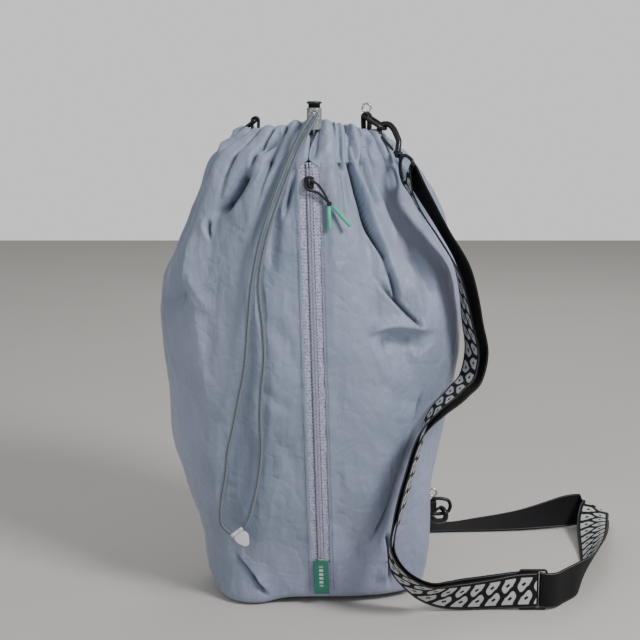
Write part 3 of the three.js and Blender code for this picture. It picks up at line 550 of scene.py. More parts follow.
def label_material():
    """Green woven label with a column of plain pale stripes in place of any lettering."""
    threads_across, threads_along, stripes_per_metre = 190.0, 9000.0, 210.0
    n = Nodes("green_label_cloth")
    across, length = n.across_and_along()
    weave = n.crossed(n.sine(across, threads_across), n.sine(length, threads_along))
    green = n.ramp(weave, [(0.2, (0.012, 0.15, 0.10)), (0.9, (0.026, 0.23, 0.165))])
    inside = n.times(n.grey(length, [(0.0080, 0), (0.0084, 1), (0.0316, 1), (0.032, 0)]),
                    n.grey(across, [(0.36, 0), (0.38, 1), (0.62, 1), (0.64, 0)]))
    stripe = n.grey(n.zigzag(n.times(length, stripes_per_metre)), [(0.17, 0), (0.22, 1)])
    colour = n.mix(n.times(inside, stripe), green, (0.60, 0.66, 0.63))
    return n.finish(colour, 0.75, n.bump(weave, 0.0003, 0.6), Sheen_Weight=0.15)


NYLON = nylon_material()
SEAM_NYLON = nylon_material("nylon_seam", (0.20, 0.23, 0.30), (0.30, 0.33, 0.42))
TAPE = tape_material()
COIL = coil_material()
BRAID = braid_material("braided_cord_grey", (0.21, 0.245, 0.30), (0.012, 0.016, 0.022), 4.0, 330.0)
PULL_BRAID = braid_material("black_cord", (0.020, 0.020, 0.022), (0.004, 0.004, 0.005), 4.0, 900.0)
FACE_A = webbing_material("webbing_patterned", True)
FACE_B = webbing_material("webbing_black", False)
BLACK_GLOSS = moulded_plastic("black_gloss_plastic", (0.008, 0.008, 0.010), 0.34, 0.42, 0.06)
BLACK_SATIN = moulded_plastic("black_satin_plastic", (0.014, 0.014, 0.016), 0.38)
GREEN_RUBBER = moulded_plastic("green_rubber_sleeve", (0.085, 0.46, 0.315), 0.4, 0.4)
SILVER = moulded_plastic("silvery_plate", (0.66, 0.67, 0.70), 0.28, 0.6, 0.3)
SMOKE = smoke_material()
BRIGHT = metal_material("bright_steel_wire", (0.74, 0.75, 0.77), 0.22)
DARK_METAL = metal_material("dark_plated_metal", (0.06, 0.063, 0.07), 0.34)
LABEL = label_material()
THREAD = moulded_plastic("grey_thread", (0.10, 0.105, 0.145), 0.6, 0.3)
THREAD_BLACK = moulded_plastic("black_thread", (0.03, 0.03, 0.033), 0.6, 0.3)


# ---------------------------------------------------------------- camera first
def add_camera():
    camera = bpy.data.objects.new("camera", bpy.data.cameras.new("camera"))
    looking_down = 10.5
    camera.location = (0.0093, -1.40, 0.55)
    camera.rotation_euler = (math.radians(90 - looking_down), 0, 0)
    camera.data.lens = 75.94
    camera.data.sensor_width = 36
    camera.data.clip_start = 0.05
    bpy.context.scene.collection.objects.link(camera)
    bpy.context.scene.camera = camera


add_camera()

# ---------------------------------------------------------------- cords and strap
# The two free tails of the drawcord, from the lock to the cord end.
LEFT_TAIL = [
    (1.15, -65, 506.5), (1.1, -70.5, 506.3), (-0.9, -76, 503.4), (-8, -79.4, 492.5), (-15.4, -81.2, 478),
    (-24, -85.5, 458), (-37, -94.5, 424), (-49, -103, 386), (-57, -107.5, 345), (-61, -109.5, 303),
    (-65, -108.5, 260), (-70.5, -106.5, 233), (-77, -104.5, 200), (-82.3, -102.5, 177),
    (-85, -100, 152), (-89, -97.5, 129), (-91, -96, 110), (-89.6, -95, 97), (-81.4, -93.1, 88.1),
]
RIGHT_TAIL = [
    (6.05, -65, 506.5), (6, -70.5, 506.3), (4.6, -77, 503), (-2, -81.6, 492), (-10, -83.2, 478),
    (-18.4, -87, 458), (-31.4, -96, 424), (-43.4, -104.6, 386), (-50.2, -108.8, 345),
    (-46.5, -111, 303), (-45.3, -111.5, 273), (-48.4, -109.6, 241), (-49.8, -107.5, 214),
    (-49.4, -104.5, 179), (-52.6, -101, 148), (-58, -98, 122), (-62.6, -96, 105.5),
    (-67.8, -94.1, 94.9),
]
CORD_END = {"left": (-80.4, -93, 84.9), "right": (-69, -94, 93.9), "face": (-0.1, -0.99, 0.1)}


def braided_tube(path, radius, step=0.8, sides=18, relief=0.12, plait=4.6):
    """A round cord with the raised crossing strands of its braid."""
    path = even(path, step)
    along = np.arange(len(path)) * step
    angle = np.arange(sides) * 2 * math.pi / sides
    points, faces, uv = sweep(path, round_section(radius, sides))
    turns = 3
    one = np.sin(turns * angle[None] + 2 * math.pi * along[:, None] / plait)
    two = np.sin(turns * angle[None] - 2 * math.pi * along[:, None] / plait)
    swell = (1 - relief * 0.5 + relief * one * two).reshape(-1, 1)
    centre = np.repeat(path, sides, axis=0)
    return centre + (points - centre) * swell, faces, uv


def add_cord_end():
    """Bar that clamps both tails, with a rounded three-cornered plate hanging from it."""
    left, right = np.array(CORD_END["left"]), np.array(CORD_END["right"])
    axis = unit(right - left)
    face = np.array(CORD_END["face"])
    face = unit(face - face @ axis * axis)
    up = np.cross(face, axis)
    middle = (left + right) / 2
    bar = rounded_plate(rectangle(7.3, 1.8), 5, middle, axis, up, 1.0, 1.1)
    corners = [(-6.8, -2.2), (6.4, -2.2), (8.4, -8.5), (2, -18), (-2.4, -17.2), (-7, -9.6)]
    plate = rounded_plate(corners, 2.2, middle, axis, up, 0.8, 2.4)
    screws = [lathe([(POINT, -3.2), (1.0, -3.2), (1.3, -2.9), (1.3, -2.2)], middle + axis * x, -face, 12)
              for x in (-4.6, 4.6)]
    return new_piece("cord_end", *merged([bar, plate, *screws]), SILVER, "bag",
                     ["cord_end_bar", "cord_end_plate"], "silver_plate")


def add_tails():
    end = add_cord_end()
    tails = (("left", LEFT_TAIL, "fitting", [end]), ("right", RIGHT_TAIL, "object", []))
    for name, route, far_end, others in tails:
        path = spline(route, 500)
        cord = new_piece(f"tail_{name}", *braided_tube(path, CORD / 2), BRAID, "bag",
                         [f"drawcord_tail_{name}"], "braided_cord")


# Doubled strap from the upper hook to the tri-glide: middle of the two layers, direction of the
# edge nearer the front, and half the distance between the layers.
DOUBLED = [
    ((104, -58, 432), (0.2, -0.93, 0.3), 5.2), ((113.5, -60, 415), (0.25, -0.95, 0.15), 5.6),
    ((130, -62, 389), (0.28, -0.96, 0), 4.2), ((148.5, -60, 358), (0.28, -0.96, 0), 4),
    ((158, -55, 328), (0.28, -0.96, 0), 4.2), ((164, -49, 298), (0.28, -0.96, 0), 4.6),
    ((169.5, -46, 268), (0.27, -0.96, 0), 4.8), ((163, -58, 242), (0.2, -0.97, 0), 4.4),
    ((148, -72, 228), (0.1, -0.98, 0), 4), ((128, -87, 213), (0, -0.99, 0), 3.2),
    ((111, -99, 192), (-0.24, -0.97, 0), 2), ((99, -107, 157), (-0.26, -0.96, 0), 1.9),
    ((87.5, -110, 112), (-0.23, -0.97, 0), 1.9), ((82, -112, 82), (-0.06, -0.98, 0.12), 1.7),
    ((89, -112, 56), (0.3, -0.86, 0.3), 1.6), ((111, -105, 34), (0.25, -0.75, 0.6), 2),
    ((136, -94, 23), (0.02, -0.55, 0.83), 2.6), ((158, -87, 20.4), (0, -0.41, 0.91), 3.4),
    ((188, -82, 20.8), (0, -0.24, 0.97), 3.4), ((210, -80, 21.8), (0, -0.06, 1), 3.2),
    ((221, -80, 22.3), (0, 0, 1), 3.2),
]
INNER_TURN = 15  # degrees that the inner layer turns away from the outer one below the eye
INNER_TURN_ENDS = (0.13, 0.30)  # shares of the strap between which that turn dies out
# Single run from the tri-glide to the fold, and from the fold to the lower hook.
SINGLE = [
    ((240.2, -82.5, 22.3), (0, 0, 1)), ((246, -82.5, 21.8), (0, 0, 1)), ((254, -77, 20.8), (0, 0, 1)),
    ((262.5, -66.5, 20.2), (0, 0, 1)), ((270.5, -57, 20), (0, 0, 1)), ((278, -49, 20), (0, 0, 1)),
    ((285.5, -38, 19.8), (0.05, -0.08, 0.99)), ((299, -8, 18), (0.43, 0.02, 0.9)),
    ((314, 40, 16), (0.62, 0.04, 0.78)), ((325, 87, 15.2), (0.84, 0, 0.54)),
    ((335, 140, 17.8), (0.98, 0.05, 0.12)), ((341.5, 168, 21.4), (0.93, 0.28, -0.3)),
]
FOLD = {"centre": (346, 184, 23.4), "half": (17.8, 7.6, -11.8), "round": 1.7}
FAR = [
    ((331, 186.5, 20.6), (0.35, -0.1, -0.93)), ((316, 186, 18.8), (0.02, -0.42, -0.9)),
    ((302, 185, 16.2), (0, -0.66, -0.75)), ((277, 183.5, 11.4), (0, -0.86, -0.5)),
    ((252, 181, 7.8), (0, -0.95, -0.31)), ((205, 178, 3.6), (0, -0.99, -0.1)), ((154, 175, 2), (0, -1, 0)),
    ((130, 171, 9.4), (0.15, -0.9, -0.4)), ((111, 158, 15.2), (0.5, -0.5, -0.7)),
    ((104, 139, 19.8), (0.2, -0.2, -0.96)),
]
GLIDE = {"place": (229, -80, 22.4), "slot": 10.5, "bar": 4, "rim": 2.4, "height": 44.2, "thick": 2.4}
GAP = 0.4
# How far in front of and behind the tri-glide's middle its two layers of webbing lie.
GLIDE_FRONT = -GLIDE["thick"] / 2 - GAP - STRAP_THICK / 2
GLIDE_BEHIND = GLIDE["thick"] / 2 + 2 * GAP + STRAP_THICK / 2


def strap_stations(stations, count):
    """Evenly resampled (centre, half-width vector, travel, extra) along the stations."""
    centre = spline([s[0] for s in stations], count)
    edge = spline([np.add(s[0], unit(s[1]) * STRAP_HALF) for s in stations], count)
    extra = spline([(i, s[2] if len(s) > 2 else 0, 0) for i, s in enumerate(stations)], count)[:, 1]
    travel = np.gradient(centre, axis=0)
    travel /= np.linalg.norm(travel, axis=1)[:, None]
    half = edge - centre
    half -= (half * travel).sum(1)[:, None] * travel
    half *= STRAP_HALF / np.linalg.norm(half, axis=1)[:, None]
    return centre, half, travel, extra


def eye_turn(eye, side):
    """Quarter turn of a strap layer around the bar of a hook's eye: rows of centre and half."""
    reach = EYE_WIRE + GAP + STRAP_THICK / 2
    sideways = side * reach * unit(np.cross(eye["axis"], eye["outward"]))
    half = unit(eye["axis"]) * STRAP_HALF
    angles = np.linspace(0.06, 1, 7) * math.pi / 2
    centres = [eye["bar"] - eye["outward"] * reach * math.cos(a) + sideways * math.sin(a) for a in angles]
    return [np.concatenate([centre, half]) for centre in centres]


def strap_fold(before):
    """The strap turned over on itself at the fold: rows of centre and half."""
    centre, half = np.array(FOLD["centre"], float), np.array(FOLD["half"], float)
    travel = centre - before
    travel = unit(travel - travel @ half / (half @ half) * half)
    over = unit(np.cross(half, travel))
    over = -over if over[2] < 0 else over
    return [np.concatenate([centre + FOLD["round"] * (travel * math.cos(a) - over * math.sin(a)), half])
            for a in np.radians(np.linspace(-90, 90, 11))]


def webbing(rows, thick=STRAP_THICK, columns=15, step=2.4, faces=(0, 1), waviness=0.25):
    """A woven strap through rows of (centre, half): points, faces, uv and a material for each face.

    Material faces[0] is on the side that half x travel points to.
    """
    rows = even(np.array(rows), step)
    for _ in range(2):
        rows[1:-1] = 0.25 * rows[:-2] + 0.5 * rows[1:-1] + 0.25 * rows[2:]
    centre, half = rows[:, :3], rows[:, 3:]
    travel = np.gradient(centre, axis=0)
    normal = np.cross(half, travel)
    normal /= np.linalg.norm(normal, axis=1)[:, None]
    u = np.linspace(-1, 1, columns)
    height = thick / 2 * (1 - 0.55 * np.abs(u) ** 10)
    distance = np.arange(len(rows)) * step
    wave = waviness * np.sin(distance[:, None] / 17 + 1.7 * u[None]) * np.abs(u[None]) ** 2
    front = centre[:, None] + u[None, :, None] * half[:, None] \
        + (height[None] + wave)[:, :, None] * normal[:, None]
    back = centre[:, None] + u[None, :, None] * half[:, None] \
        + (wave - height[None])[:, :, None] * normal[:, None]
    loop = np.concatenate([front, back[:, ::-1]], 1)
    n = 2 * columns
    polygons = tube_faces(len(rows), n)
    row_looks = [faces[0]] * (columns - 1) + [faces[1]] * (columns + 1)
    looks = row_looks * (len(rows) - 1) + [faces[1]] * 2
    across = np.concatenate([(u + 1) / 2, (u[::-1] + 1) / 2])
    uv = np.stack([np.tile(across, len(rows)), np.repeat(distance, n) * METRE], 1)
    return loop.reshape(-1, 3), polygons, uv, looks, centre


def add_strap_part(name, node, rows, faces):
    points, polygons, uv, looks, centre = webbing(rows, faces=faces)
    strap = new_piece(name, points, polygons, uv, [FACE_A, FACE_B], None, [node], "strap_webbing", looks)
    return strap, centre


def at_glide(x, y):
    """An upright row of the strap at a place in the tri-glide."""
    centre = np.add(GLIDE["place"], (x, y, 0))
    return np.concatenate([centre, (0, 0, STRAP_HALF)])


def add_strap():
    """Two layers from the upper hook's eye to the tri-glide, and the single run to the lower hook."""
    centre, half, travel, extra = strap_stations(DOUBLED, 260)
    normal = np.cross(half, travel)
    normal /= np.linalg.norm(normal, axis=1)[:, None]
    ends = {1: [(1.5, GLIDE_BEHIND), (3.6, GLIDE_BEHIND - 0.6), (5.9, GLIDE_BEHIND - 2)],
            -1: [(1.2, GLIDE_FRONT), (3.4, GLIDE_FRONT + 0.3)]}
    share = np.linspace(0, 1, len(half))
    turn = math.radians(INNER_TURN) * (1 - smoothstep(*INNER_TURN_ENDS, share))[:, None]
    edge_on = half * np.cos(turn) + np.cross(travel, half) * np.sin(turn)
    for name, side, faces, edge in (("outer", 1, (0, 1), half), ("inner", -1, (1, 0), edge_on)):
        body = np.concatenate([centre + side * extra[:, None] * normal, edge], 1)
        rows = eye_turn(UPPER_EYE, side) + list(body) + [at_glide(*end) for end in ends[side]]
        strap, middle = add_strap_part(f"strap_{name}", f"strap_{name}_layer", rows, faces)
        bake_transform(strap)
    near = strap_stations(SINGLE, 130)
    lead = LOWER_EYE["bar"] + LOWER_EYE["outward"] * 9
    far = strap_stations([*FAR, (lead, LOWER_EYE["axis"])], 150)
    rows = [at_glide(6.6, GLIDE_BEHIND - 2.5), *np.concatenate(near[:2], 1), *strap_fold(near[0][-1]),
            *np.concatenate(far[:2], 1), *eye_turn(LOWER_EYE, 1)[::-1]]
    strap, middle = add_strap_part("strap_single", "strap_single_run", rows, (0, 1))
    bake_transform(strap)


# ---------------------------------------------------------------- hooks and rings: places
RINGS = {
    "top_left": {"origin": (-57, -2, 499), "bar": (0.05, 1, 0), "down": (0, 0, -1),
                 "hang": (-0.79, 0.04, -0.61), "tab": 19, "reach": 20},
    "top_right": {"origin": (56.4, -18.5, 503.5), "bar": (0.32, 0.95, 0), "down": (0, 0, -1),
                  "hang": (0.81, -0.27, -0.52), "tab": 21, "reach": 23},
    "lower_right": {"origin": (136, 56, 67), "bar": (0, 0, 1), "down": (-0.82, -0.57, 0),
                    "hang": (1, 0.05, 0), "tab": 19.5, "reach": 20},
}


def square_to(direction, axis):
    """The part of a direction that is square to the axis, with length 1."""
    direction, axis = np.asarray(direction, float), unit(axis)
    return unit(direction - direction @ axis * axis)


def hook_places(held, axis, side, eye_bar):
    """Where a hook lies: it is held by a ring at one point and points along its axis to the strap."""
    axis = unit(axis)
    jaw = np.asarray(held) + JAW_DEPTH * axis
    return {"jaw": jaw, "up": -axis, "side": square_to(side, axis), "bar": jaw + EYE_REACH * axis,
            "axis": square_to(eye_bar, axis), "outward": axis}


def ring_point(prefix, hang, rise=0.0):
    ring = RINGS[prefix]
    return np.asarray(ring["origin"]) + hang * unit(ring["hang"]) + (0, 0, rise)


UPPER_EYE = hook_places(ring_point("top_right", 23), (0.42, -0.46, -0.8), (0.9, 0.05, 0.4),
                        (0.2, -0.9, 0.4))
LOWER_EYE = hook_places(ring_point("lower_right", 12, -8.6), (-0.4, 0.816, -0.417), (0.3, -0.3, -0.9),
                        (0, -0.455, -0.89))

add_tails()
add_strap()

# ---------------------------------------------------------------- body shape
HEIGHTS = np.arange(0, RIM_TOP + 1, 1.0)


def eased(table, column, reach=8):
    """A table's value at every millimetre of height, with its corners rounded."""
    values = np.interp(HEIGHTS, [row[0] for row in table], [row[column] for row in table])
    kernel = np.hanning(2 * reach + 3)[1:-1]
    padded = np.pad(values, reach, mode="reflect", reflect_type="odd")
    return np.convolve(padded, kernel / kernel.sum(), mode="valid")


LEFT_HALF = eased(WIDTH_PROFILE, 1)
RIGHT_HALF = eased(WIDTH_PROFILE, 2)
POWER = eased(SQUARENESS, 1)


def half_depth(z, middle):
    """Depth of the body's front or back at a height, along its arc and in towards the rim."""
    low = np.minimum(z, CHANNEL_BOTTOM)
    drop = middle - (ARC_RADIUS - np.sqrt(ARC_RADIUS ** 2 - (low - ARC_MID_Z) ** 2))
    share = np.clip((z - CHANNEL_BOTTOM) / (RIM_TOP - CHANNEL_BOTTOM), 0, 1)
    return drop + (RIM_DEPTH - drop) * share


def body_point(angle, z, inset=0.0):
    """Points of the smooth body at angles (degrees from the front, positive to the right)."""
    angle, z, inset = np.broadcast_arrays(np.asarray(angle, float), z, inset)
    power = np.interp(z, HEIGHTS, POWER)
    half = np.where(angle < 0, np.interp(z, HEIGHTS, LEFT_HALF), np.interp(z, HEIGHTS, RIGHT_HALF))
    front = np.abs(angle) < 90
    depth = half_depth(z, np.where(front, FRONT_DEPTH, BACK_DEPTH)) - inset
    sine = np.abs(np.sin(np.radians(angle)))
    away = ((angle - SHOULDER["angle"]) / SHOULDER["angle_spread"]) ** 2 \
        + ((z - SHOULDER["z"]) / SHOULDER["z_spread"]) ** 2
    reach = 1 - SHOULDER["share"] * np.exp(-away)
    y = depth * np.maximum(0, 1 - sine ** power) ** (1 / power)
    x = np.sign(angle) * (half - inset) * sine * reach
    return np.stack([x, np.where(front, -y, y) * reach, z], -1)


def zip_x(z):
    return ZIP_MID_X - math.tan(ZIP_LEAN) * (z - ARC_MID_Z)


def front_angle(x, z):
    """Angle round the body of a place on its front."""
    half = np.interp(z, HEIGHTS, LEFT_HALF if x < 0 else RIGHT_HALF)
    return math.degrees(math.asin(max(-1.0, min(1.0, x / half))))


FINE_ANGLES = np.concatenate([np.linspace(0, 80, 161)[:-1], np.linspace(80, 100, 161)[:-1],
                              np.linspace(100, 180, 161)])


def half_loop(z, side, start_x):
    """Angles and arc lengths from a start near the zip round to the back, on one side (1 right)."""
    begin = front_angle(start_x, z) * side
    angles = np.concatenate([[begin], FINE_ANGLES[FINE_ANGLES > begin + 0.05]])
    points = body_point(angles * side + 1e-9 * side, z)
    return angles * side, running_length(points)


def surface_distance(x, z):
    """Signed distance along the front from the middle of the zip to a point x."""
    side = 1 if x >= zip_x(z) else -1
    angles, lengths = half_loop(z, side, zip_x(z))
    return side * float(np.interp(abs(front_angle(x, z)), np.abs(angles), lengths))


# ---------------------------------------------------------------- folds of the cloth
# Named folds of the front: kind, height, reach to the left and right, and route as (x, z). A tuck
# has a lip, on the side that its kind says, which stands over a narrow groove.
FOLDS = [
    # left shoulder: a deep lens-shaped pocket with a rolled lip on its inner side
    ("pocket", 16, 4.5, 6.5, [(-58, 456), (-67, 441), (-79, 421), (-98, 403)]),
    ("left tuck", 4, 6, 4, [(-98, 404), (-101, 394), (-100, 380)]),
    ("ridge", 6, 7, 16, [(-38, 464), (-52, 440), (-69, 416), (-84, 394)]),
    ("ridge", 11, 8, 26, [(-81, 476), (-91, 448), (-98, 430), (-113, 393), (-120, 359), (-121, 335),
     (-114, 320), (-98, 310)]),
    ("valley", 8, 16, 7, [(-88, 470), (-98, 442), (-108, 414), (-122, 376), (-129, 344)]),
    ("pocket", 9, 3, 3, [(-36, 480), (-42, 474), (-50, 468)]),
    ("ridge", 4.5, 14, 9, [(-30, 466), (-46, 428), (-56, 392), (-59, 352)]),
    ("valley", 5, 5, 8, [(-24, 462), (-32, 430), (-38, 384), (-34, 330)]),
    ("left tuck", 5, 9, 6, [(-12, 464), (-22, 436), (-29, 404)]),
    # right shoulder: the long fold that runs from the mouth to the middle
    ("right tuck", 9, 14, 20, [(36, 480), (39, 470), (49, 448), (59, 423), (69, 395), (81, 365),
     (79, 346)]),
    ("right tuck", 4.5, 10, 8, [(80, 368), (86, 342), (91, 319)]),
    ("valley", 4.5, 5, 7, [(28, 470), (40, 440), (48, 412)]),
    ("left tuck", 5, 9, 5, [(20, 486), (26, 468), (31, 448)]),
    ("pocket", 9, 3.6, 5, [(55, 480), (55, 456), (69, 428), (79, 399)]),
    ("ridge", 6, 7, 9, [(72, 446), (88, 412), (97, 390), (90, 370)]),
    ("left tuck", 4.5, 12, 9, [(60, 353), (83, 325), (108, 298), (110, 311)]),
    ("pocket", 10, 8, 8, [(108, 384), (118, 350), (122, 312)]),
    ("ridge", 5, 8, 5, [(96, 352), (106, 326), (112, 304)]),
    # the dent below it, with its pointed tip
    ("shelf", 15, 8, 38, [(54, 292), (72, 300), (98, 299), (134, 288)]),
    ("ridge", 5, 12, 9, [(98, 262), (114, 272), (132, 286)]),
    ("ridge", 3, 12, 12, [(52, 288), (74, 276), (99, 265)]),
    # left flank
    ("ridge", 6.5, 30, 18, [(-121, 336), (-110, 290), (-104, 236), (-107, 180)]),
    ("ridge", 5, 9, 8, [(-118, 356), (-110, 330), (-95, 309)]),
    ("valley", 4.5, 8, 8, [(-150, 318), (-130, 326), (-112, 342)]),
    ("valley", 3, 6, 9, [(-96, 306), (-104, 270), (-100, 240)]),
    ("valley", 3, 8, 9, [(-44, 318), (-24, 286), (-14, 258)]),
    ("valley", 2.4, 7, 8, [(-56, 246), (-32, 226), (-16, 218)]),
    ("valley", 1.8, 8, 8, [(-42, 190), (-24, 178), (-14, 150)]),
    ("ridge", 3.6, 22, 16, [(-120, 196), (-98, 150), (-92, 90)]),
    ("valley", 3, 9, 9, [(-130, 240), (-126, 190), (-116, 140)]),
    # right flank, in front of the side panel
    ("left tuck", 11, 30, 14, [(116, 236), (96, 184), (77, 124), (58, 66)]),
    ("left tuck", 10, 12, 7, [(76, 84), (79, 50), (80, 12)]),
    ("valley", 4, 12, 10, [(62, 252), (84, 230), (112, 216)]),
    ("valley", 3.2, 10, 12, [(30, 92), (52, 68), (76, 64)]),
    ("ridge", 2, 12, 14, [(24, 170), (40, 130), (36, 92)]),
    # above the front left corner
    ("right tuck", 4, 12, 7, [(-80, 62), (-62, 40), (-40, 14)]),
    ("right tuck", 5, 5, 4, [(-59, 39), (-50, 24), (-41, 10)]),
]


def fold_profile(kind, distance, near, far):
    """Height of a fold at signed distances from its line; positive distances are to its right."""
    if kind == "shelf":  # a crest above the line, then a drop that fills in slowly further down
        crest = 0.45 * np.exp(-(distance / near) ** 2)
        sunk = -smoothstep(0, near * 2.6, -distance) * np.exp(-(distance / far) ** 2)
        return np.where(distance > 0, crest, crest * np.exp(-(distance / 3) ** 2) + sunk)
    if kind in ("left tuck", "right tuck"):  # up to the lip, down into the groove, and back
        away = distance if kind == "left tuck" else -distance
        groove = -1.45 * np.exp(-((away - 2.2) / 2.3) ** 2)
        lifted = 0.75 * np.exp(-(away / near) ** 2)
        sunk = -0.35 * np.exp(-(away / far) ** 2)
        return np.where(away < 0, lifted, 0.75 * np.exp(-(away / 2.2) ** 2)) \
            + groove + np.where(away < 0, 0, sunk)
    reach = np.where(distance < 0, near, far)
    if kind in ("valley", "pocket"):
        return -np.exp(-np.abs(distance / reach) ** (2.0 if kind == "valley" else 2.8))
    return np.maximum(0, 1 - np.sqrt(distance ** 2 + 1.2) / (1.9 * reach)) ** 1.7


def route_distance(s, z, route):
    """Signed distance of points (s, z) to a route, positive right of it, and their share of it."""
    best = np.full(s.shape, 1e9)
    signed = np.zeros(s.shape)
    share = np.zeros(s.shape)
    spans = len(route) - 1
    for k, (a, b) in enumerate(zip(route[:-1], route[1:])):
        d = b - a
        t = ((s - a[0]) * d[0] + (z - a[1]) * d[1]) / (d @ d)
        held = np.clip(t, 0, 1)
        gap_s, gap_z = s - a[0] - held * d[0], z - a[1] - held * d[1]
        gap = np.hypot(gap_s, gap_z)
        closer = gap < best
        best = np.where(closer, gap, best)
        turn = np.where(d[0] * (z - a[1]) - d[1] * (s - a[0]) > 0, 1, -1)
        signed = np.where(closer, gap * turn, signed)
        share = np.where(closer, (k + held) / spans, share)
    return signed, share


FOLD_MARGIN = 60  # a fold is worked out this far round its route
IN_THE_RIM = 470


def named_folds(s, z):
    """Sum of the named folds, each fading towards the ends of its route unless it starts in the rim."""
    field = np.zeros(s.shape)
    for kind, height, near, far, places in FOLDS:
        route = spline([(surface_distance(x, h), h, 0) for x, h in places], 16)[:, :2]
        low, high = route.min(0) - FOLD_MARGIN, route.max(0) + FOLD_MARGIN
        box = (s > low[0]) & (s < high[0]) & (z > low[1]) & (z < high[1])
        if not box.any():
            continue
        signed, share = route_distance(s[box], z[box], route)
        start = 1.0 if places[0][1] > IN_THE_RIM else smoothstep(0, 0.3, share)
        ends = start * smoothstep(0, 0.35, 1 - share)
        lean = 0.5 + 0.5 * np.sin(math.pi * np.clip(share, 0.02, 0.98)) ** 0.4
        field[box] += height * ends * lean * fold_profile(kind, signed, near, far)
    return field


def lattice_noise(u, v, seed):
    """Smooth noise from -1 to 1 on a unit lattice."""
    table = np.random.default_rng(seed).uniform(-1, 1, (256, 256))
    u, v = np.broadcast_arrays(u, v)
    iu, iv = np.floor(u).astype(int), np.floor(v).astype(int)
    fu, fv = u - iu, v - iv
    fu, fv = fu * fu * (3 - 2 * fu), fv * fv * (3 - 2 * fv)
    corners = [table[(iu + a) % 256, (iv + b) % 256] for a in (0, 1) for b in (0, 1)]
    low = corners[0] * (1 - fu) + corners[2] * fu
    high = corners[1] * (1 - fu) + corners[3] * fu
    return low * (1 - fv) + high * fv


def creased_noise(u, v, seed):
    """Noise with sharp crests, like crumpled thin cloth."""
    return 0.5 - 2 * np.abs(lattice_noise(u, v, seed)) + 0.4 * lattice_noise(u * 2.1, v * 2.3, seed + 1)


def make_gathers():
    """Pleats around the mouth: rounded ridges, and narrower valleys between them."""
    out = []
    places = np.linspace(-0.49, 0.49, GATHER_COUNT) + rng.uniform(-0.0045, 0.0045, GATHER_COUNT)
    for k, place in enumerate(places):
        ridge = k % 2
        out.append({"place": place, "width": rng.uniform(5.0, 8.5) if ridge else rng.uniform(2.0, 3.6),
                    "height": rng.uniform(1.8, 4.0) if ridge else -rng.uniform(4.5, 9.5),
                    "length": rng.choice([22, 34, 48, 75, 120]), "lean": rng.uniform(-0.02, 0.02)})
    return out


GATHERS = make_gathers()


def gathers(s, z, around):
    """Pleats that spread down from the mouth and fade."""
    lowest_pleat = 150
    field = np.zeros(s.shape)
    rows = z[:, 0] > lowest_pleat
    s, z, around = s[rows], z[rows], around[rows]
    below = np.maximum(0, CHANNEL_BOTTOM + 4 - z)
    above = smoothstep(CHANNEL_BOTTOM, RIM_TOP, z)
    total = np.zeros(s.shape)
    for g in GATHERS:
        middle = (g["place"] + g["lean"] * below / 100) * around
        width = g["width"] * (1 + below / 80) * (1 - 0.25 * above)
        total += g["height"] * np.exp(-((s - middle) / width) ** 2) * np.exp(-below / g["length"])
    field[rows] = total
    return field


def cord_room(s, z):
    """How far the cloth may stand out beside the hanging cords."""
    room = np.full(s.shape, 20.0)
    for route in (LEFT_TAIL, RIGHT_TAIL):
        line = np.array([(surface_distance(x, h), h) for x, _, h in route if h < 470])
        signed, _ = route_distance(s, z, line)
        room = np.minimum(room, 0.1 + 0.07 * signed ** 2)
    return room


FULLEST = 11  # the most that folds stand out, before the raised edge beside the zip


def cloth_field(s, z, around):
    """How far the cloth stands out of the smooth body, in millimetres."""
    # broad swells, two sizes of crumple, then the pucker beside the zip's seam
    wide = 3.0 * lattice_noise(s / 58 + 3, z / 110 + 5, 21) + 1.5 * lattice_noise(s / 27, z / 60, 22)
    crumple = 1.0 * creased_noise(s / 30 + 0.3 * lattice_noise(s / 40, z / 40, 25), z / 74, 23)
    fine = 0.38 * creased_noise(s / 11, z / 22 + 0.5 * lattice_noise(s / 20, z / 20, 26), 24)
    pucker = 0.8 * lattice_noise(z / 7.5, s / 60, 27) * np.exp(-np.maximum(0, np.abs(s) - 11) / 16)
    off_zip = smoothstep(10, 26, np.abs(s))
    beside_zip = off_zip + smoothstep(462, 472, z) * (1 - off_zip)
    near_floor = 0.4 + 0.6 * smoothstep(0, 34, z)
    field = (named_folds(s, z) + gathers(s, z, around) + wide + crumple + fine) * beside_zip * near_floor
    # the channel's cloth does not sink into the drawcord inside it
    above_cord = -20 + 15.8 * smoothstep(454, 464, z) * (1 - smoothstep(483, 490, z))
    field = np.minimum(np.clip(field + 0.9 * pucker, above_cord, FULLEST), cord_room(s, z))
    return field + 0.9 * np.exp(-np.maximum(0, np.abs(s) - 11) / 4) * (z > ZIP_BOTTOM_Z)


def corner_sag(x, y, z):
    """The front left corner of the cloth slumps outwards over the base."""
    reach, corner_x, spread = 13, -68, 26
    return reach * np.exp(-((x - corner_x) / spread) ** 2 - (z / spread) ** 2) * smoothstep(0, -40, y)


def painted_fold_shade(field):
    """Share of each surface point sunk below the cloth around it: 0 in the open, 1 deep in a fold; the
    cloth colour is darkened by it as painted shade.
    """
    around = field.copy()
    smoothing_passes = 30
    for _ in range(smoothing_passes):
        for axis in (0, 1):
            padded = np.pad(around, [(1, 1) if a == axis else (0, 0) for a in (0, 1)], mode="edge")
            low = np.take(padded, range(around.shape[axis]), axis)
            high = np.take(padded, range(2, around.shape[axis] + 2), axis)
            around = 0.25 * low + 0.5 * around + 0.25 * high
    return smoothstep(0.6, 5.0, around - field)


def edge_lift(x, y, z):
    """The lower edge does not lie flat: it is raised along the front except at the left corner."""
    front = smoothstep(20, -50, y)
    raised = 6.5 * smoothstep(-62, -15, x) - 1.0
    return np.maximum(raised, 0) * front * np.exp(-z / 26)


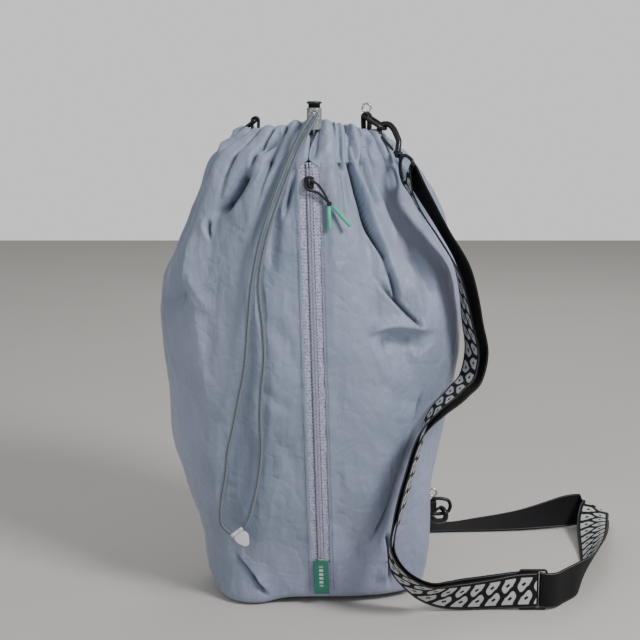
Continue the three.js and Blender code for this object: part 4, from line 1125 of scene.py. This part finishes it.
def rim_lift(x, y, z):
    """The gathered rim stands highest around the lock."""
    rise = smoothstep(CHANNEL_BOTTOM + 2, RIM_TOP, z)
    front = smoothstep(10, -45, y)
    hump = 13.5 * np.exp(-((x - 3) / 46) ** 2) * (0.55 + 0.45 * front)
    return rise * (hump + 1.6 * lattice_noise(x / 14, y / 14 + 3, 31) - 1.0)


def shell_heights():
    """(z, inset) of the rows: over the rim from inside, down the body, then the rounded lower edge."""
    rows = [(466, 11.2), (470, 10.4), (476, 9.4), (481, 8.2), (484.6, 6.8), (487, 5.2), (488.2, 3.6),
            (488.5, 2.2), (488.0, 0.9), (486.8, 0.2)]
    edge_top, edge_round = 10, 9.4
    rows += [(z, 0.0) for z in np.linspace(485.5, edge_top, 320)]
    for angle in np.radians([14, 28, 42, 56, 70, 84]):
        rows.append((edge_top - edge_round * math.sin(angle), edge_round * (1 - math.cos(angle))))
    rows += [(0.6, 12.0), (0.6, 18.0)]
    return rows


def edge_offset(z):
    """How near the cloth's edge comes to the middle: wide at the zip, closed below and above it."""
    beside = (TAPE_HALF - 1.2) * smoothstep(ZIP_BOTTOM_Z - 5, ZIP_BOTTOM_Z + 1, z)
    closed = smoothstep(ZIP_TOP_Z - 6, ZIP_TOP_Z + 4, z)
    return beside * (1 - closed) + closed * (0.4 + 5.6 * smoothstep(472, 487, z))


def middle_x(z):
    """The middle of the front opening: the zip, then a slant towards the lock."""
    return zip_x(z) + 5.5 * smoothstep(ZIP_TOP_Z + 2, RIM_TOP, z)


def loop_at(z, columns):
    """Angles and signed distances of one row of the shell, closer together in front."""
    right_angles, right_lengths = half_loop(z, 1, middle_x(z))
    left_angles, left_lengths = half_loop(z, -1, middle_x(z))
    reach = edge_offset(z)
    total = right_lengths[-1] + left_lengths[-1]
    t = np.linspace(0, 1, columns)
    t = t - 0.055 * np.sin(2 * math.pi * t)
    at = reach + t * (total - 2 * reach)
    on_right = at <= right_lengths[-1]
    angle = np.where(on_right, np.interp(at, right_lengths, right_angles),
                     np.interp(total - at, left_lengths, left_angles))
    return angle, np.where(on_right, at, at - total), total


def shell_surface(rows, columns):
    loops = [loop_at(min(max(z, 0.0), RIM_TOP), columns) for z, _ in rows]
    angle = np.array([loop[0] for loop in loops])
    s = np.array([loop[1] for loop in loops])
    around = np.array([np.full(columns, loop[2]) for loop in loops])
    z = np.array([np.full(columns, float(height)) for height, _ in rows])
    inset = np.array([np.full(columns, float(depth)) for _, depth in rows])
    smooth = body_point(angle, z, inset)
    tangent = np.gradient(smooth, axis=1)
    level = np.clip(z, 10, 484)
    upright = body_point(angle, level + 2, 0) - body_point(angle, level - 2, 0)
    normal = np.cross(tangent, upright)
    normal /= np.linalg.norm(normal, axis=2)[:, :, None]
    field = cloth_field(s, z, around) * smoothstep(-1, 8, z)
    sag = corner_sag(smooth[:, :, 0], smooth[:, :, 1], z)
    surface = smooth + normal * field[:, :, None] + normal * (1, 1, 0) * sag[:, :, None]
    surface[:, :, 2] += edge_lift(surface[:, :, 0], surface[:, :, 1], np.maximum(z, 0))
    surface[:, :, 2] += rim_lift(surface[:, :, 0], surface[:, :, 1], z)
    return surface, s, painted_fold_shade(field)


def add_shell():
    rows = shell_heights()
    surface, s, sunk = shell_surface(rows, SHELL_COLUMNS)
    points = surface.reshape(-1, 3)
    faces = [face[::-1] for face in grid_faces(len(rows), SHELL_COLUMNS)]
    uv = np.stack([s.ravel() * METRE, points[:, 2] * METRE], 1)
    panels = ["front_panel_left", "front_panel_right", "back_panel_left", "back_panel_right",
              "zip_foot_panel", "drawcord_channel"]
    shell = new_piece("bag_shell", points, faces, uv, NYLON, "bag", panels, "nylon")
    # the sunk share is stored on the points as the mask of the cloth's painted shade in the folds
    shell.data.attributes.new("painted_fold_shade", "FLOAT", "POINT").data.foreach_set("value", sunk.ravel())
    modifier(shell, "SOLIDIFY", thickness=CLOTH * METRE, offset=-1.0)
    return surface


SHELL = add_shell()


def add_base():
    """Base panel: follows the shell's lower edge and rises a little in the middle."""
    ring = SHELL[-3]
    centre = np.array([8.0, 0.0, 0.0])
    points, columns = [], len(ring)
    shares = [1.0, 0.97, 0.9, 0.75, 0.5, 0.25, 0.04]
    for share in shares:
        row = centre + (ring - centre) * share
        sag = 1.6 + 3.0 * (1 - share ** 2)
        row[:, 2] = ring[:, 2] * share ** 2 + sag + 0.5 * np.sin(row[:, 0] / 13) * np.cos(row[:, 1] / 11)
        points.append(row)
    points = np.vstack(points)
    faces = grid_faces(len(shares), columns, wrap=True)
    faces.append(tuple((len(shares) - 1) * columns + i for i in range(columns)))
    base = new_piece("bag_base", points, faces, None, SEAM_NYLON, "bag", ["base_panel"], "nylon")
    modifier(base, "SOLIDIFY", thickness=CLOTH * METRE, offset=0.0)


add_base()


# ---------------------------------------------------------------- zip
def arc_angle(z):
    """Angle along the zip's arc at a height."""
    return np.arcsin((np.asarray(z, float) - ARC_MID_Z) / ARC_RADIUS / math.cos(ZIP_LEAN))


ZIP_ACROSS = np.array([math.cos(ZIP_LEAN), 0, math.sin(ZIP_LEAN)])
ZIP_UP = np.array([-math.sin(ZIP_LEAN), 0, math.cos(ZIP_LEAN)])
ARC_CENTRE = np.array([ZIP_MID_X, ARC_RADIUS - FRONT_DEPTH, ARC_MID_Z])


def zip_point(angle, across, out):
    """Points on the zip: angle along its arc, offset across it and height above its face."""
    angle, across, out = (np.asarray(v, float)[..., None] for v in np.broadcast_arrays(angle, across, out))
    reach = ARC_RADIUS + out
    return ARC_CENTRE + np.array([0, -1, 0]) * reach * np.cos(angle) + ZIP_UP * reach * np.sin(angle) \
        + ZIP_ACROSS * across


def add_tapes():
    """Two woven tapes, a little behind the cloth edges, with a corded selvage beside the coil."""
    z = np.linspace(ZIP_BOTTOM_Z, ZIP_TOP_Z, 300)
    across = np.array([0.15, 0.3, 1.2, 2.6, 3.0, 4.5, 6, 7.5, 9, 10.3, 10.8, 10.9])
    top = np.array([-0.6, 0.05, 0.1, 0.1, -0.15, -0.2, -0.2, -0.2, -0.25, -0.3, -0.35, -0.7])
    for name, side in (("left", -1), ("right", 1)):
        height = np.concatenate([top, top[::-1] - 0.55])
        reach = np.concatenate([across, across[::-1]])
        wave = 0.12 * np.sin(z[:, None] / 4.1 + side) * (reach[None] / TAPE_HALF)
        points = zip_point(arc_angle(z)[:, None], side * reach[None], height[None] + wave)
        n = len(reach)
        faces = tube_faces(len(z), n)
        uv = np.stack([np.tile(reach / TAPE_HALF, len(z)), np.repeat(z, n) * METRE], 1)
        new_piece(f"tape_{name}", points.reshape(-1, 3), faces, uv, TAPE, "bag", [f"zip_tape_{name}"],
                  "zip_tape")


def add_coils():
    """Each side of the zip is one nylon coil whose loops meet over the middle."""
    z_low, z_high = ZIP_BOTTOM_Z + 6, ZIP_TOP_Z - 6
    turns = (z_high - z_low) / COIL_PITCH
    for name, side, phase in (("left", -1, 0.0), ("right", 1, math.pi)):
        t = np.linspace(0, turns * 2 * math.pi, int(turns * 10))
        z = z_low + (z_high - z_low) * t / t[-1]
        across = side * (COIL_MIDDLE + COIL_HALF * np.cos(t + phase))
        out = COIL_HEIGHT + COIL_RISE * np.sin(t + phase)
        path = zip_point(arc_angle(z), across, out)
        coil = sweep(path, round_section(0.36, 6), up=(0, 0, 1))
        core_z = np.linspace(z_low, z_high, 160)
        core = sweep(zip_point(arc_angle(core_z), side * 1.3, 1.0), round_section(0.42, 6), up=(1, 0, 0))
        new_piece(f"coil_{name}", *merged([coil, core]), COIL, "bag", [f"zip_chain_{name}"], "zip_coil")


def stitches(line, length=2.5, gap=0.9, radius=0.26, normal=(0, -1, 0)):
    """A row of stitches: short thread lengths that dip into the cloth at their ends."""
    spacing = 0.5
    line = even(np.asarray(line, float), spacing)
    steps = int(length / spacing)
    stride = steps + int(round(gap / spacing))
    parts = []
    for start in range(0, len(line) - steps, stride):
        run = line[start:start + steps + 1]
        bulge = np.sin(np.linspace(0, math.pi, len(run)))[:, None]
        parts.append(sweep(run + np.asarray(normal) * (0.22 * bulge - 0.1), round_section(radius, 5),
                           up=(0.2, 1, 0.1)))
    return merged(parts)


def add_stitching():
    """Two rows of stitches that hold the cloth to the tapes, and two that hold the coils."""
    cloth_row, coil_row = 12.6, 3.25
    z = np.linspace(ZIP_BOTTOM_Z - 34, ZIP_TOP_Z + 1, 200)
    angles, coil_angles = arc_angle(z), arc_angle(z[z > ZIP_BOTTOM_Z + 4])
    rows = [stitches(zip_point(angles, side * cloth_row, 1.25)) for side in (-1, 1)]
    coil_rows = [stitches(zip_point(coil_angles, side * coil_row, 0.12), 1.8, 0.7, 0.32)
                 for side in (-1, 1)]
    new_piece("zip_stitching", *merged(rows + coil_rows), THREAD, "bag", slot="nylon")


def add_stops():
    for name, side in (("left", -1), ("right", 1)):
        angle = float(arc_angle(ZIP_TOP_Z - 3.4))
        u, v = ZIP_ACROSS, unit(zip_point(angle + 0.01, 0, 0) - zip_point(angle, 0, 0))
        centre = zip_point(angle, side * 1.6, 1.4)
        stop = rounded_plate(rectangle(0.9, 2), 1.5, centre, u, v, 0.4, 0.5)
        new_piece(f"top_stop_{name}", *stop, BRIGHT, "bag", [f"zip_top_stop_{name}"], "bright_steel")
    angle = float(arc_angle(ZIP_BOTTOM_Z + 3.2))
    centre = zip_point(angle, 0, 1.4)
    stop = rounded_plate(rectangle(3, 2.2), 1.5, centre, ZIP_ACROSS, ZIP_UP, 0.4, 0.6)
    new_piece("bottom_stop", *stop, BRIGHT, "bag", ["zip_bottom_stop"], "bright_steel")


def slider_axes():
    """The slider's place on the arc, and the directions up the zip and out of the bag."""
    angle = float(arc_angle(SLIDER_Z))
    up = unit(zip_point(angle + 0.002, 0, 0) - zip_point(angle - 0.002, 0, 0))
    out = unit(zip_point(angle, 0, 1) - zip_point(angle, 0, 0))
    return angle, up, out


def add_slider():
    """Slider: shield-shaped top plate with rolled flanges, a lower plate and a post between them."""
    angle, up, out = slider_axes()
    centre = zip_point(angle, 0, SLIDER_PLATE)
    shield = [(-4.9, 5.8), (-2.2, 6.6), (2.2, 6.6), (4.9, 5.8), (4.3, -4.6), (2.6, -6.4), (-2.6, -6.4),
              (-4.3, -4.6)]
    parts = [rounded_plate(shield, 1.5, centre, ZIP_ACROSS, up, 0.5, 1.4),
             rounded_plate(shield, 1.2, zip_point(angle, 0, SLIDER_UNDER), ZIP_ACROSS, up, 0.4, 1.4)]
    for side in (-1, 1):
        rail = [centre + ZIP_ACROSS * side * x + up * y - out * 1.0 for x, y in
                ((4.5, 5.4), (4.35, 2), (4.0, -2), (3.7, -5))]
        parts.append(sweep(even(spline(rail, 30), 0.8), round_section(0.8, 8)))
    post = zip_point(angle, 0, 0.3) + up * 2.5
    parts.append(rounded_plate(rectangle(0.4, 1.6), 5.2, post, ZIP_ACROSS, up, 0.1, 0.3))
    new_piece("slider", *merged(parts), DARK_METAL, "slider", ["zip_slider"], "slider_metal")
    foot = zip_point(angle, 0, CROWN_FOOT)
    half_arch = [(4.6, -0.4), (4.6, 2.2), (3.2, 4.1)]
    outline = [*((-a, b) for a, b in half_arch), (0, 4.6), *half_arch[::-1]]
    arch = [foot + up * a + out * b for a, b in outline]
    section = [(x * 1.0, y * 1.7) for x, y in round_section(0.9, 10)]
    new_piece("slider_crown", *sweep(even(spline(arch, 80), 0.5), section, up=ZIP_ACROSS), DARK_METAL,
              "slider", ["zip_slider_crown"], "bright_steel")


def add_pull():
    """Cord loop through the crown, its knot, and two rubber sleeves with cord ends inside."""
    angle, up, out = slider_axes()
    pivot = zip_point(angle, 0, CROWN_FOOT) + out * 2.2

    def at(right, down, lift):
        return pivot + ZIP_ACROSS * right - up * down + out * lift

    loop = [(-1.5, -1, -0.2), (2.5, -1.2, 0.2), (7.5, 1.5, 0.6), (11.5, 6.5, 0), (15.5, 13, -1.5),
            (18.5, 20, -2.8)]
    back = [(-1.5, -1, -0.2), (-2.6, 3, 0.3), (-1.2, 7.2, 0.2), (3, 8.8, 0.2), (8.5, 10.4, -0.2),
            (13.5, 15, -1.5), (18.5, 20, -2.8)]
    parts = [braided_tube(spline([at(*place) for place in route], 200), PULL_CORD / 2, 0.5, 12, 0.1, 3.0)
             for route in (loop, back)]
    knot = at(19, 21, -2.4)
    for turn, tilt in ((0.0, 0.5), (2.1, -0.4), (4.2, 0.1)):
        ring = [knot + 1.5 * (ZIP_ACROSS * math.cos(a) + (out * math.cos(turn) + up * math.sin(turn))
                              * math.sin(a)) + up * tilt for a in np.arange(24) * math.pi / 12]
        parts.append(sweep(ring, round_section(1.1, 8), closed=True))
    new_piece("pull_cord", *merged(parts), PULL_BRAID, "zip_pull", ["zip_pull_cord"], "pull_cord")
    ends = {"left": (at(18.4, 24.2, -2.6), at(18.9, 46, -3)),
            "right": (at(22.3, 23.3, -2.4), at(39, 43.5, -3))}
    for name, (start, end) in ends.items():
        length = float(np.linalg.norm(end - start))
        outline = [(0.9, 1.2), (1.2, 0), (1.8, -0.3), (2.05, 0.3), (2.05, length * 0.5),
                   (2.0, length - 0.4), (1.75, length), (1.15, length - 0.1), (1.05, length - 1.6),
                   (POINT, length - 1.7)]
        new_piece(f"pull_sleeve_{name}", *lathe(outline, start, end - start, 20), GREEN_RUBBER,
                  "zip_pull", [f"zip_pull_sleeve_{name}"], "green_rubber")


def add_label():
    """Woven label folded over the lower end of the zip."""
    low, high, half = 15, 55, 7.6
    z = np.linspace(low, high, 41)
    dx = np.linspace(-half, half, 19)
    edge = 0.35 * (np.abs(dx) / half) ** 6
    rows = []
    for height in z:
        angles = [front_angle(zip_x(height) - 0.4 + x, height) for x in dx]
        curl = 0.4 * smoothstep(12, 0, height - low) + 0.12 * math.sin(height / 2.6)
        outer = body_point(angles, height, -3.5 + edge - curl)
        inner = body_point(angles, height, -2.8 - curl)
        rows.append(np.concatenate([outer, inner[::-1]]))
    n = 2 * len(dx)
    faces = tube_faces(len(z), n)
    across = (dx + half) / (2 * half)
    there_and_back = np.concatenate([across, across[::-1]])
    uv = np.stack([np.tile(there_and_back, len(z)), np.repeat(z - low, n) * METRE], 1)
    new_piece("label", np.vstack(rows), faces, uv, LABEL, "bag", ["woven_label"], "label_cloth")


# ---------------------------------------------------------------- mouth
LOCK = {"x": 3.6, "y": -57, "bottom": 492, "top": 513.5, "radius": 7.4, "bore": 6.2, "cord_z": 506.5}
LOCK_TRAVEL = 3.4
CORD_SIDE = 2.45


def lock_at(x, y, z):
    """A point beside the lock's axis, at a true height."""
    return np.array([LOCK["x"] + x, LOCK["y"] + y, z])


def add_drawcord():
    """The cord round the channel, out through the gathers and into the lock from both sides."""
    z = CHANNEL_BOTTOM + 10
    inset = 7.4

    def lock_exit(side):
        return [lock_at(side * (CORD_SIDE + x), y, LOCK["cord_z"] + drop)
                for x, y, drop in ((0, 8, 0), (0.1, 10.8, -0.2), (0.5, 13.4, -4), (0.8, 12.6, -12))]

    around = [body_point(a if a <= 180 else a - 360, z, inset) for a in np.linspace(14, 346, 25)]
    ends = [lock_at(side * (CORD_SIDE + 2.4), 4, z + 9) for side in (1, -1)]
    path = [*lock_exit(1), ends[0], *around, ends[1], *lock_exit(-1)[::-1]]
    new_piece("drawcord_loop", *braided_tube(spline(path, 700), CORD / 2), BRAID, "bag", ["drawcord"],
              "braided_cord")


def cut_cord_hole(piece, above):
    """Cut the slot-shaped hole that both cords pass through; it reaches `above` further up."""
    half = CORD / 2 + 0.45
    outline = [(side * (CORD_SIDE + half * math.sin(a)), half * math.cos(a)) for side in (1, -1)
               for a in np.linspace(0, math.pi, 13)[::side]]
    outline = [(x, h if h < 0 else h + above) for x, h in outline]
    rows = [lock_at(x, y, LOCK["cord_z"] + h) for y in (-12, 12) for x, h in outline]
    mesh = bpy.data.meshes.new("hole")
    mesh.from_pydata((np.array(rows) * METRE).tolist(), [], tube_faces(2, len(outline)))
    cutter = bpy.data.objects.new("hole", mesh)
    bpy.context.scene.collection.objects.link(cutter)
    modifier(piece, "BOOLEAN", operation="DIFFERENCE", solver="EXACT", object=cutter)
    view = bpy.context.evaluated_depsgraph_get()
    looks = list(piece.data.materials)
    piece.data = bpy.data.meshes.new_from_object(piece.evaluated_get(view))
    piece.modifiers.clear()
    piece.data.materials.clear()
    for look in looks:
        piece.data.materials.append(look)
    piece.data.polygons.foreach_set("material_index", [0] * len(piece.data.polygons))
    bpy.data.objects.remove(cutter)
    bpy.data.meshes.remove(mesh)


def add_lock():
    """Barrel with a cross hole, plunger with its domed cap, and the spring below it."""
    x, y = LOCK["x"], LOCK["y"]
    radius, bore, bottom, top = LOCK["radius"], LOCK["bore"], LOCK["bottom"], LOCK["top"]
    height = top - bottom
    barrel = lathe([(POINT, 0), (radius - 1.2, 0), (radius - 0.3, 0.4), (radius, 1.3), (radius, 6.5),
                    (radius - 0.35, 7.2), (radius - 0.35, 8.4), (radius, 9.1), (radius, height - 1.2),
                    (radius - 0.4, height - 0.2), (radius - 0.9, height), (bore, height), (bore, 2),
                    (POINT, 2)], (x, y, bottom), (0, 0, 1), 48)
    cut_cord_hole(new_piece("lock_barrel", *barrel, SMOKE, "cord_lock", ["cord_lock_body"],
                            "smoke_plastic"), 0.0)
    rim = CORD / 2 + 0.85
    eyelets = []  # raised rims round both ends of the cross hole
    for end in (-1, 1):
        ring = []
        for side in (1, -1):
            for a in np.linspace(0, math.pi, 17)[::side]:
                out = side * (CORD_SIDE + rim * math.sin(a))
                back = end * math.sqrt(radius ** 2 - out ** 2)
                ring.append(lock_at(out, back, LOCK["cord_z"] + rim * math.cos(a)))
        eyelets.append(sweep(ring, round_section(0.4, 8), closed=True, up=(0, 1, 0)))
    new_piece("lock_eyelets", *merged(eyelets), SMOKE, "cord_lock", slot="smoke_plastic")
    stem_top = top + LOCK_TRAVEL + 0.4
    stem = bore - 0.35
    foot = 500
    plunger = lathe([(POINT, foot), (stem, foot), (stem, stem_top), (radius - 0.3, stem_top),
                     (radius, stem_top + 0.4), (radius, stem_top + 1.6), (radius - 0.6, stem_top + 2.2),
                     (radius - 2.2, stem_top + 2.5), (POINT, stem_top + 2.6)], (x, y, 0), (0, 0, 1), 48)
    cut_cord_hole(new_piece("lock_plunger", *plunger, BLACK_SATIN, "lock_plunger", ["cord_lock_plunger"],
                            "black_plastic"), LOCK_TRAVEL + 0.3)
    angles = np.linspace(0, TURN * 3.5, 120)
    rise = 494.8 + 4.4 * angles / angles[-1]
    coil = np.stack([x + 3.2 * np.cos(angles), y + 3.2 * np.sin(angles), rise], 1)
    wire = sweep(coil, round_section(0.35, 6), up=(0, 0, 1))
    spring = new_piece("lock_spring", *wire, BRIGHT, "cord_lock", ["cord_lock_spring"], "bright_steel")
    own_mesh(spring)


# ---------------------------------------------------------------- tabs, rings, hooks, tri-glide
def closed_curve(points, count):
    """Smooth closed curve through the points."""
    p = [np.asarray(v, float) for v in points]
    wrapped = spline([*p[-3:], *p, *p[:3]], 600)
    share = np.linspace(0, 1, 600)
    spans = len(p) + 5
    inside = (share >= 3 / spans) & (share < (3 + len(p)) / spans)
    kept = wrapped[inside]
    return even(np.vstack([kept, kept[:1]]), path_length(kept) / count)[:-1]


def wire_ring(origin, u, v, corners, radius, count=72, sides=12, flat=1.0):
    points = [np.asarray(origin) + a * unit(u) + b * unit(v) for a, b in corners]
    normal = unit(np.cross(u, v))
    return sweep(closed_curve(points, count), round_section(radius, sides, flat), closed=True, up=normal)


def add_tab_and_ring(prefix):
    """Webbing folded round the bar of a D-ring and sewn to the bag."""
    ring = RINGS[prefix]
    origin, bar, down = np.array(ring["origin"], float), unit(ring["bar"]), unit(ring["down"])
    across = unit(np.cross(bar, down))
    reach = RING_WIRE + 1.4
    turn = np.linspace(0, math.pi, 13)
    fold = [(-reach * 0.7, ring["tab"]), (-reach * 0.9, ring["tab"] * 0.5)]
    fold += [(-reach * math.cos(a), -reach * math.sin(a)) for a in turn]
    fold += [(reach * 0.9, ring["tab"] * 0.5), (reach * 0.7, ring["tab"])]
    half = bar * TAB_HALF
    rows = [np.concatenate([origin + across * x + down * d, half]) for x, d in fold]
    points, faces, uv, looks, _ = webbing(rows, TAB_THICK, 11, 0.8, (0, 0), 0.0)
    box = [origin + across * (reach + 1.3) * 0.82 + bar * b + down * d
           for b, d in ((-4.4, 5), (4.4, 5), (4.4, 13), (-4.4, 13), (-4.4, 5))]
    thread = stitches(box, 2.0, 0.5, 0.3, across)
    new_piece(f"{prefix}_tab_webbing", points, faces, uv, FACE_B, "bag", [f"{prefix}_tab"], "tab_webbing")
    new_piece(f"{prefix}_tab_stitches", *thread, THREAD_BLACK, "bag", slot="tab_webbing")
    h, far = RING_HALF, ring["reach"]
    outline = [(-h + 1, 0), (0, 0), (h - 1, 0), (h, 1.6), (h, far * 0.5), (h * 0.72, far * 0.88), (0, far),
               (-h * 0.72, far * 0.88), (-h, far * 0.5), (-h, 1.6)]
    loop = wire_ring(origin, bar, unit(ring["hang"]), outline, RING_WIRE, 90, 14)
    new_piece(f"{prefix}_ring", *loop, BLACK_GLOSS, f"{prefix}_ring", [f"{prefix}_d_ring"],
              "black_plastic")


def add_rivet_ring(prefix, rise):
    """Bright ring beside a tab, with a circle of small beads inside it."""
    ring_radius, bead_radius = 4.3, 3.1
    bead_outline = [(POINT, 0), (0.3, 0), (0.36, 0.3), (0.2, 0.55), (POINT, 0.6)]
    centre = ring_point(prefix, 0, rise)
    angles = np.arange(48) * math.pi / 24
    ring = [centre + (ring_radius * math.cos(a), 0, ring_radius * math.sin(a)) for a in angles]
    parts = [sweep(ring, round_section(1.0, 10), closed=True, up=(0, 1, 0))]
    for a in np.arange(16) * math.pi / 8:
        bead = centre + (bead_radius * math.cos(a), -0.4, bead_radius * math.sin(a))
        parts.append(lathe(bead_outline, bead, (0, -1, 0), 8))
    new_piece(f"{prefix}_rivet", *merged(parts), BRIGHT, "bag", [f"{prefix}_rivet_ring"], "bright_steel")


def add_hook(prefix, places):
    """Snap hook: curved body with a swivel collar, sprung gate, and flat three-cornered eye."""
    jaw, side, up = places["jaw"], places["side"], places["up"]
    normal = unit(np.cross(side, up))

    def at(a, b):
        return jaw + side * a + up * b

    shank = [(0, -27), (2.4, -22), (6, -16), (7.2, -8), (7.3, 0), (5.2, 6), (0, 8.6), (-5.2, 6),
             (-7.2, 0.6)]
    collar = [(POINT, 23), (2.8, 23), (3.7, 23.5), (4.1, 24.4), (4.1, 25.6), (3.7, 26), (3.7, 26.6),
              (4.3, 27.1), (4.3, 29.2), (3.9, 30), (POINT, 30)]
    path = even(spline([at(a, b) for a, b in shank], 300), 0.6)
    share = np.linspace(0, 1, len(path))
    swell = 1.0 + 0.06 * np.sin(share * math.pi) - 0.28 * smoothstep(0.94, 1.0, share)
    parts = [sweep(path, round_section(HOOK_WIRE, 16), scale=swell, up=normal)]
    parts.append(lathe(collar, jaw, -up, 32))
    new_piece(f"{prefix}_shank", *merged(parts), BLACK_GLOSS, prefix, [f"{prefix}_body"], "black_plastic")
    hinge = at(-2.9, -20.4)
    gate = even(spline([at(-7.1, -2.4), at(-5.2, -11), hinge], 80), 0.6)
    gate_scale = 1 - 0.4 * smoothstep(0.9, 1, np.abs(np.linspace(-1, 1, len(gate))))
    gate_parts = [sweep(gate, round_section(GATE_WIRE, 14), scale=gate_scale, up=normal)]
    pin = [(POINT, -2.0), (0.8, -2.0), (1.0, -1.7), (1.0, 1.7), (0.8, 2.0), (POINT, 2.0)]
    gate_parts.append(lathe(pin, hinge, normal, 14))
    new_piece(f"{prefix}_gate_lever", *merged(gate_parts), BLACK_SATIN, f"{prefix.split('_')[0]}_gate",
              [f"{prefix}_gate"], "black_plastic")
    half_eye = [(10, -35.8), (18.5, -42), (22.2, -49), (20.6, -EYE_REACH), (10, -EYE_REACH)]
    corners = [(0, -33.8), *half_eye, (0, -EYE_REACH), *[(-a, b) for a, b in half_eye[::-1]]]
    eye = wire_ring(jaw, places["axis"], up, corners, EYE_WIRE, 120, 14)
    stem = [(POINT, 30.4), (1.7, 30.4), (2.1, 30.9), (2.1, 33), (2.9, 34.4), (POINT, 34.6)]
    new_piece(f"{prefix}_strap_eye", *merged([eye, lathe(stem, jaw, -up, 24)]), BLACK_GLOSS, "bag",
              [f"{prefix}_eye"], "black_plastic")


def add_glide():
    """Tri-glide: one rounded frame and its middle bar."""
    place = np.array(GLIDE["place"], float)
    width = 2 * GLIDE["slot"] + GLIDE["bar"] + 2 * GLIDE["rim"]
    rim = GLIDE["rim"]
    a, b = width / 2 - rim / 2, GLIDE["height"] / 2 - rim / 2
    outline = rounded_outline(rectangle(a, b), 2.6, 7)
    loop = [place + (x, 0, z) for x, z in outline]
    loop = even(np.vstack([loop, loop[:1]]), 1.0)[:-1]
    square = rectangle(GLIDE["thick"] / 2, GLIDE["thick"] / 2)
    section = rounded_outline(square, 0.7, 4)
    parts = [sweep(loop, section, closed=True, up=(0, 1, 0))]
    bar = [place + (0, 0, z) for z in np.linspace(-b, b, 40)]
    bar_section = [(x, y * 1.6) for x, y in rounded_outline(square, 0.6, 4)]
    parts.append(sweep(bar, bar_section, up=(0, 1, 0)))
    new_piece("glide_frame", *merged(parts), BLACK_GLOSS, "glide", ["tri_glide"], "black_plastic")


add_tapes()
add_coils()
add_stitching()
add_stops()
add_slider()
add_pull()
add_label()
add_drawcord()
add_lock()
for ring_name in RINGS:
    add_tab_and_ring(ring_name)
for ring_name, rivet_rise in (("top_right", 8.8), ("lower_right", 16)):
    add_rivet_ring(ring_name, rivet_rise)
for hook_name, hook_place in (("upper_hook", UPPER_EYE), ("lower_hook", LOWER_EYE)):
    add_hook(hook_name, hook_place)
add_glide()


# ---------------------------------------------------------------- floor, backdrop and light
def add_stage():
    """Pale floor and an even studio light, brighter to the camera than on the bag."""
    mesh = bpy.data.meshes.new("floor")
    half, back = 4, 3  # metres; the floor ends well behind the bag
    corners = [(-half, -half, 0), (half, -half, 0), (half, back, 0), (-half, back, 0)]
    mesh.from_pydata(corners, [], [(0, 1, 2, 3)])
    n = Nodes("pale_floor")
    mesh.materials.append(n.finish(n.mix(n.noise(3, 3), (0.56, 0.54, 0.51), (0.62, 0.60, 0.57)), 0.9))
    floor = bpy.data.objects.new("floor", mesh)
    bpy.context.scene.collection.objects.link(floor)
    world = bpy.data.worlds.new("studio")
    bpy.context.scene.world = world
    world.use_nodes = True
    background = world.node_tree.nodes["Background"]
    background.inputs["Color"].default_value = (0.87, 0.88, 0.87, 1)
    seen = world.node_tree.nodes.new("ShaderNodeLightPath").outputs["Is Camera Ray"]
    strength = world.node_tree.nodes.new("ShaderNodeMath")
    strength.operation = "MULTIPLY_ADD"
    strength.inputs[1].default_value = 0.50
    strength.inputs[2].default_value = 0.46
    world.node_tree.links.new(seen, strength.inputs[0])
    world.node_tree.links.new(strength.outputs[0], background.inputs["Strength"])


def add_area(name, place, target, size, power, colour=(1, 1, 1)):
    light = bpy.data.objects.new(name, bpy.data.lights.new(name, "AREA"))
    light.data.size = size
    light.data.energy = power
    light.data.color = colour
    light.location = place
    aim = Vector(target) - Vector(place)
    light.rotation_euler = aim.to_track_quat("-Z", "Y").to_euler()
    bpy.context.scene.collection.objects.link(light)


add_stage()
add_area("key", (1.15, -1.15, 1.45), (0, 0, 0.22), 0.5, 33, (1, 0.99, 0.98))
add_area("fill", (-1.6, -1.6, 1.0), (0, 0, 0.2), 1.4, 7, (0.95, 0.97, 1))
add_area("back", (0.4, 1.8, 1.7), (0, 0, 0.3), 1.2, 9)
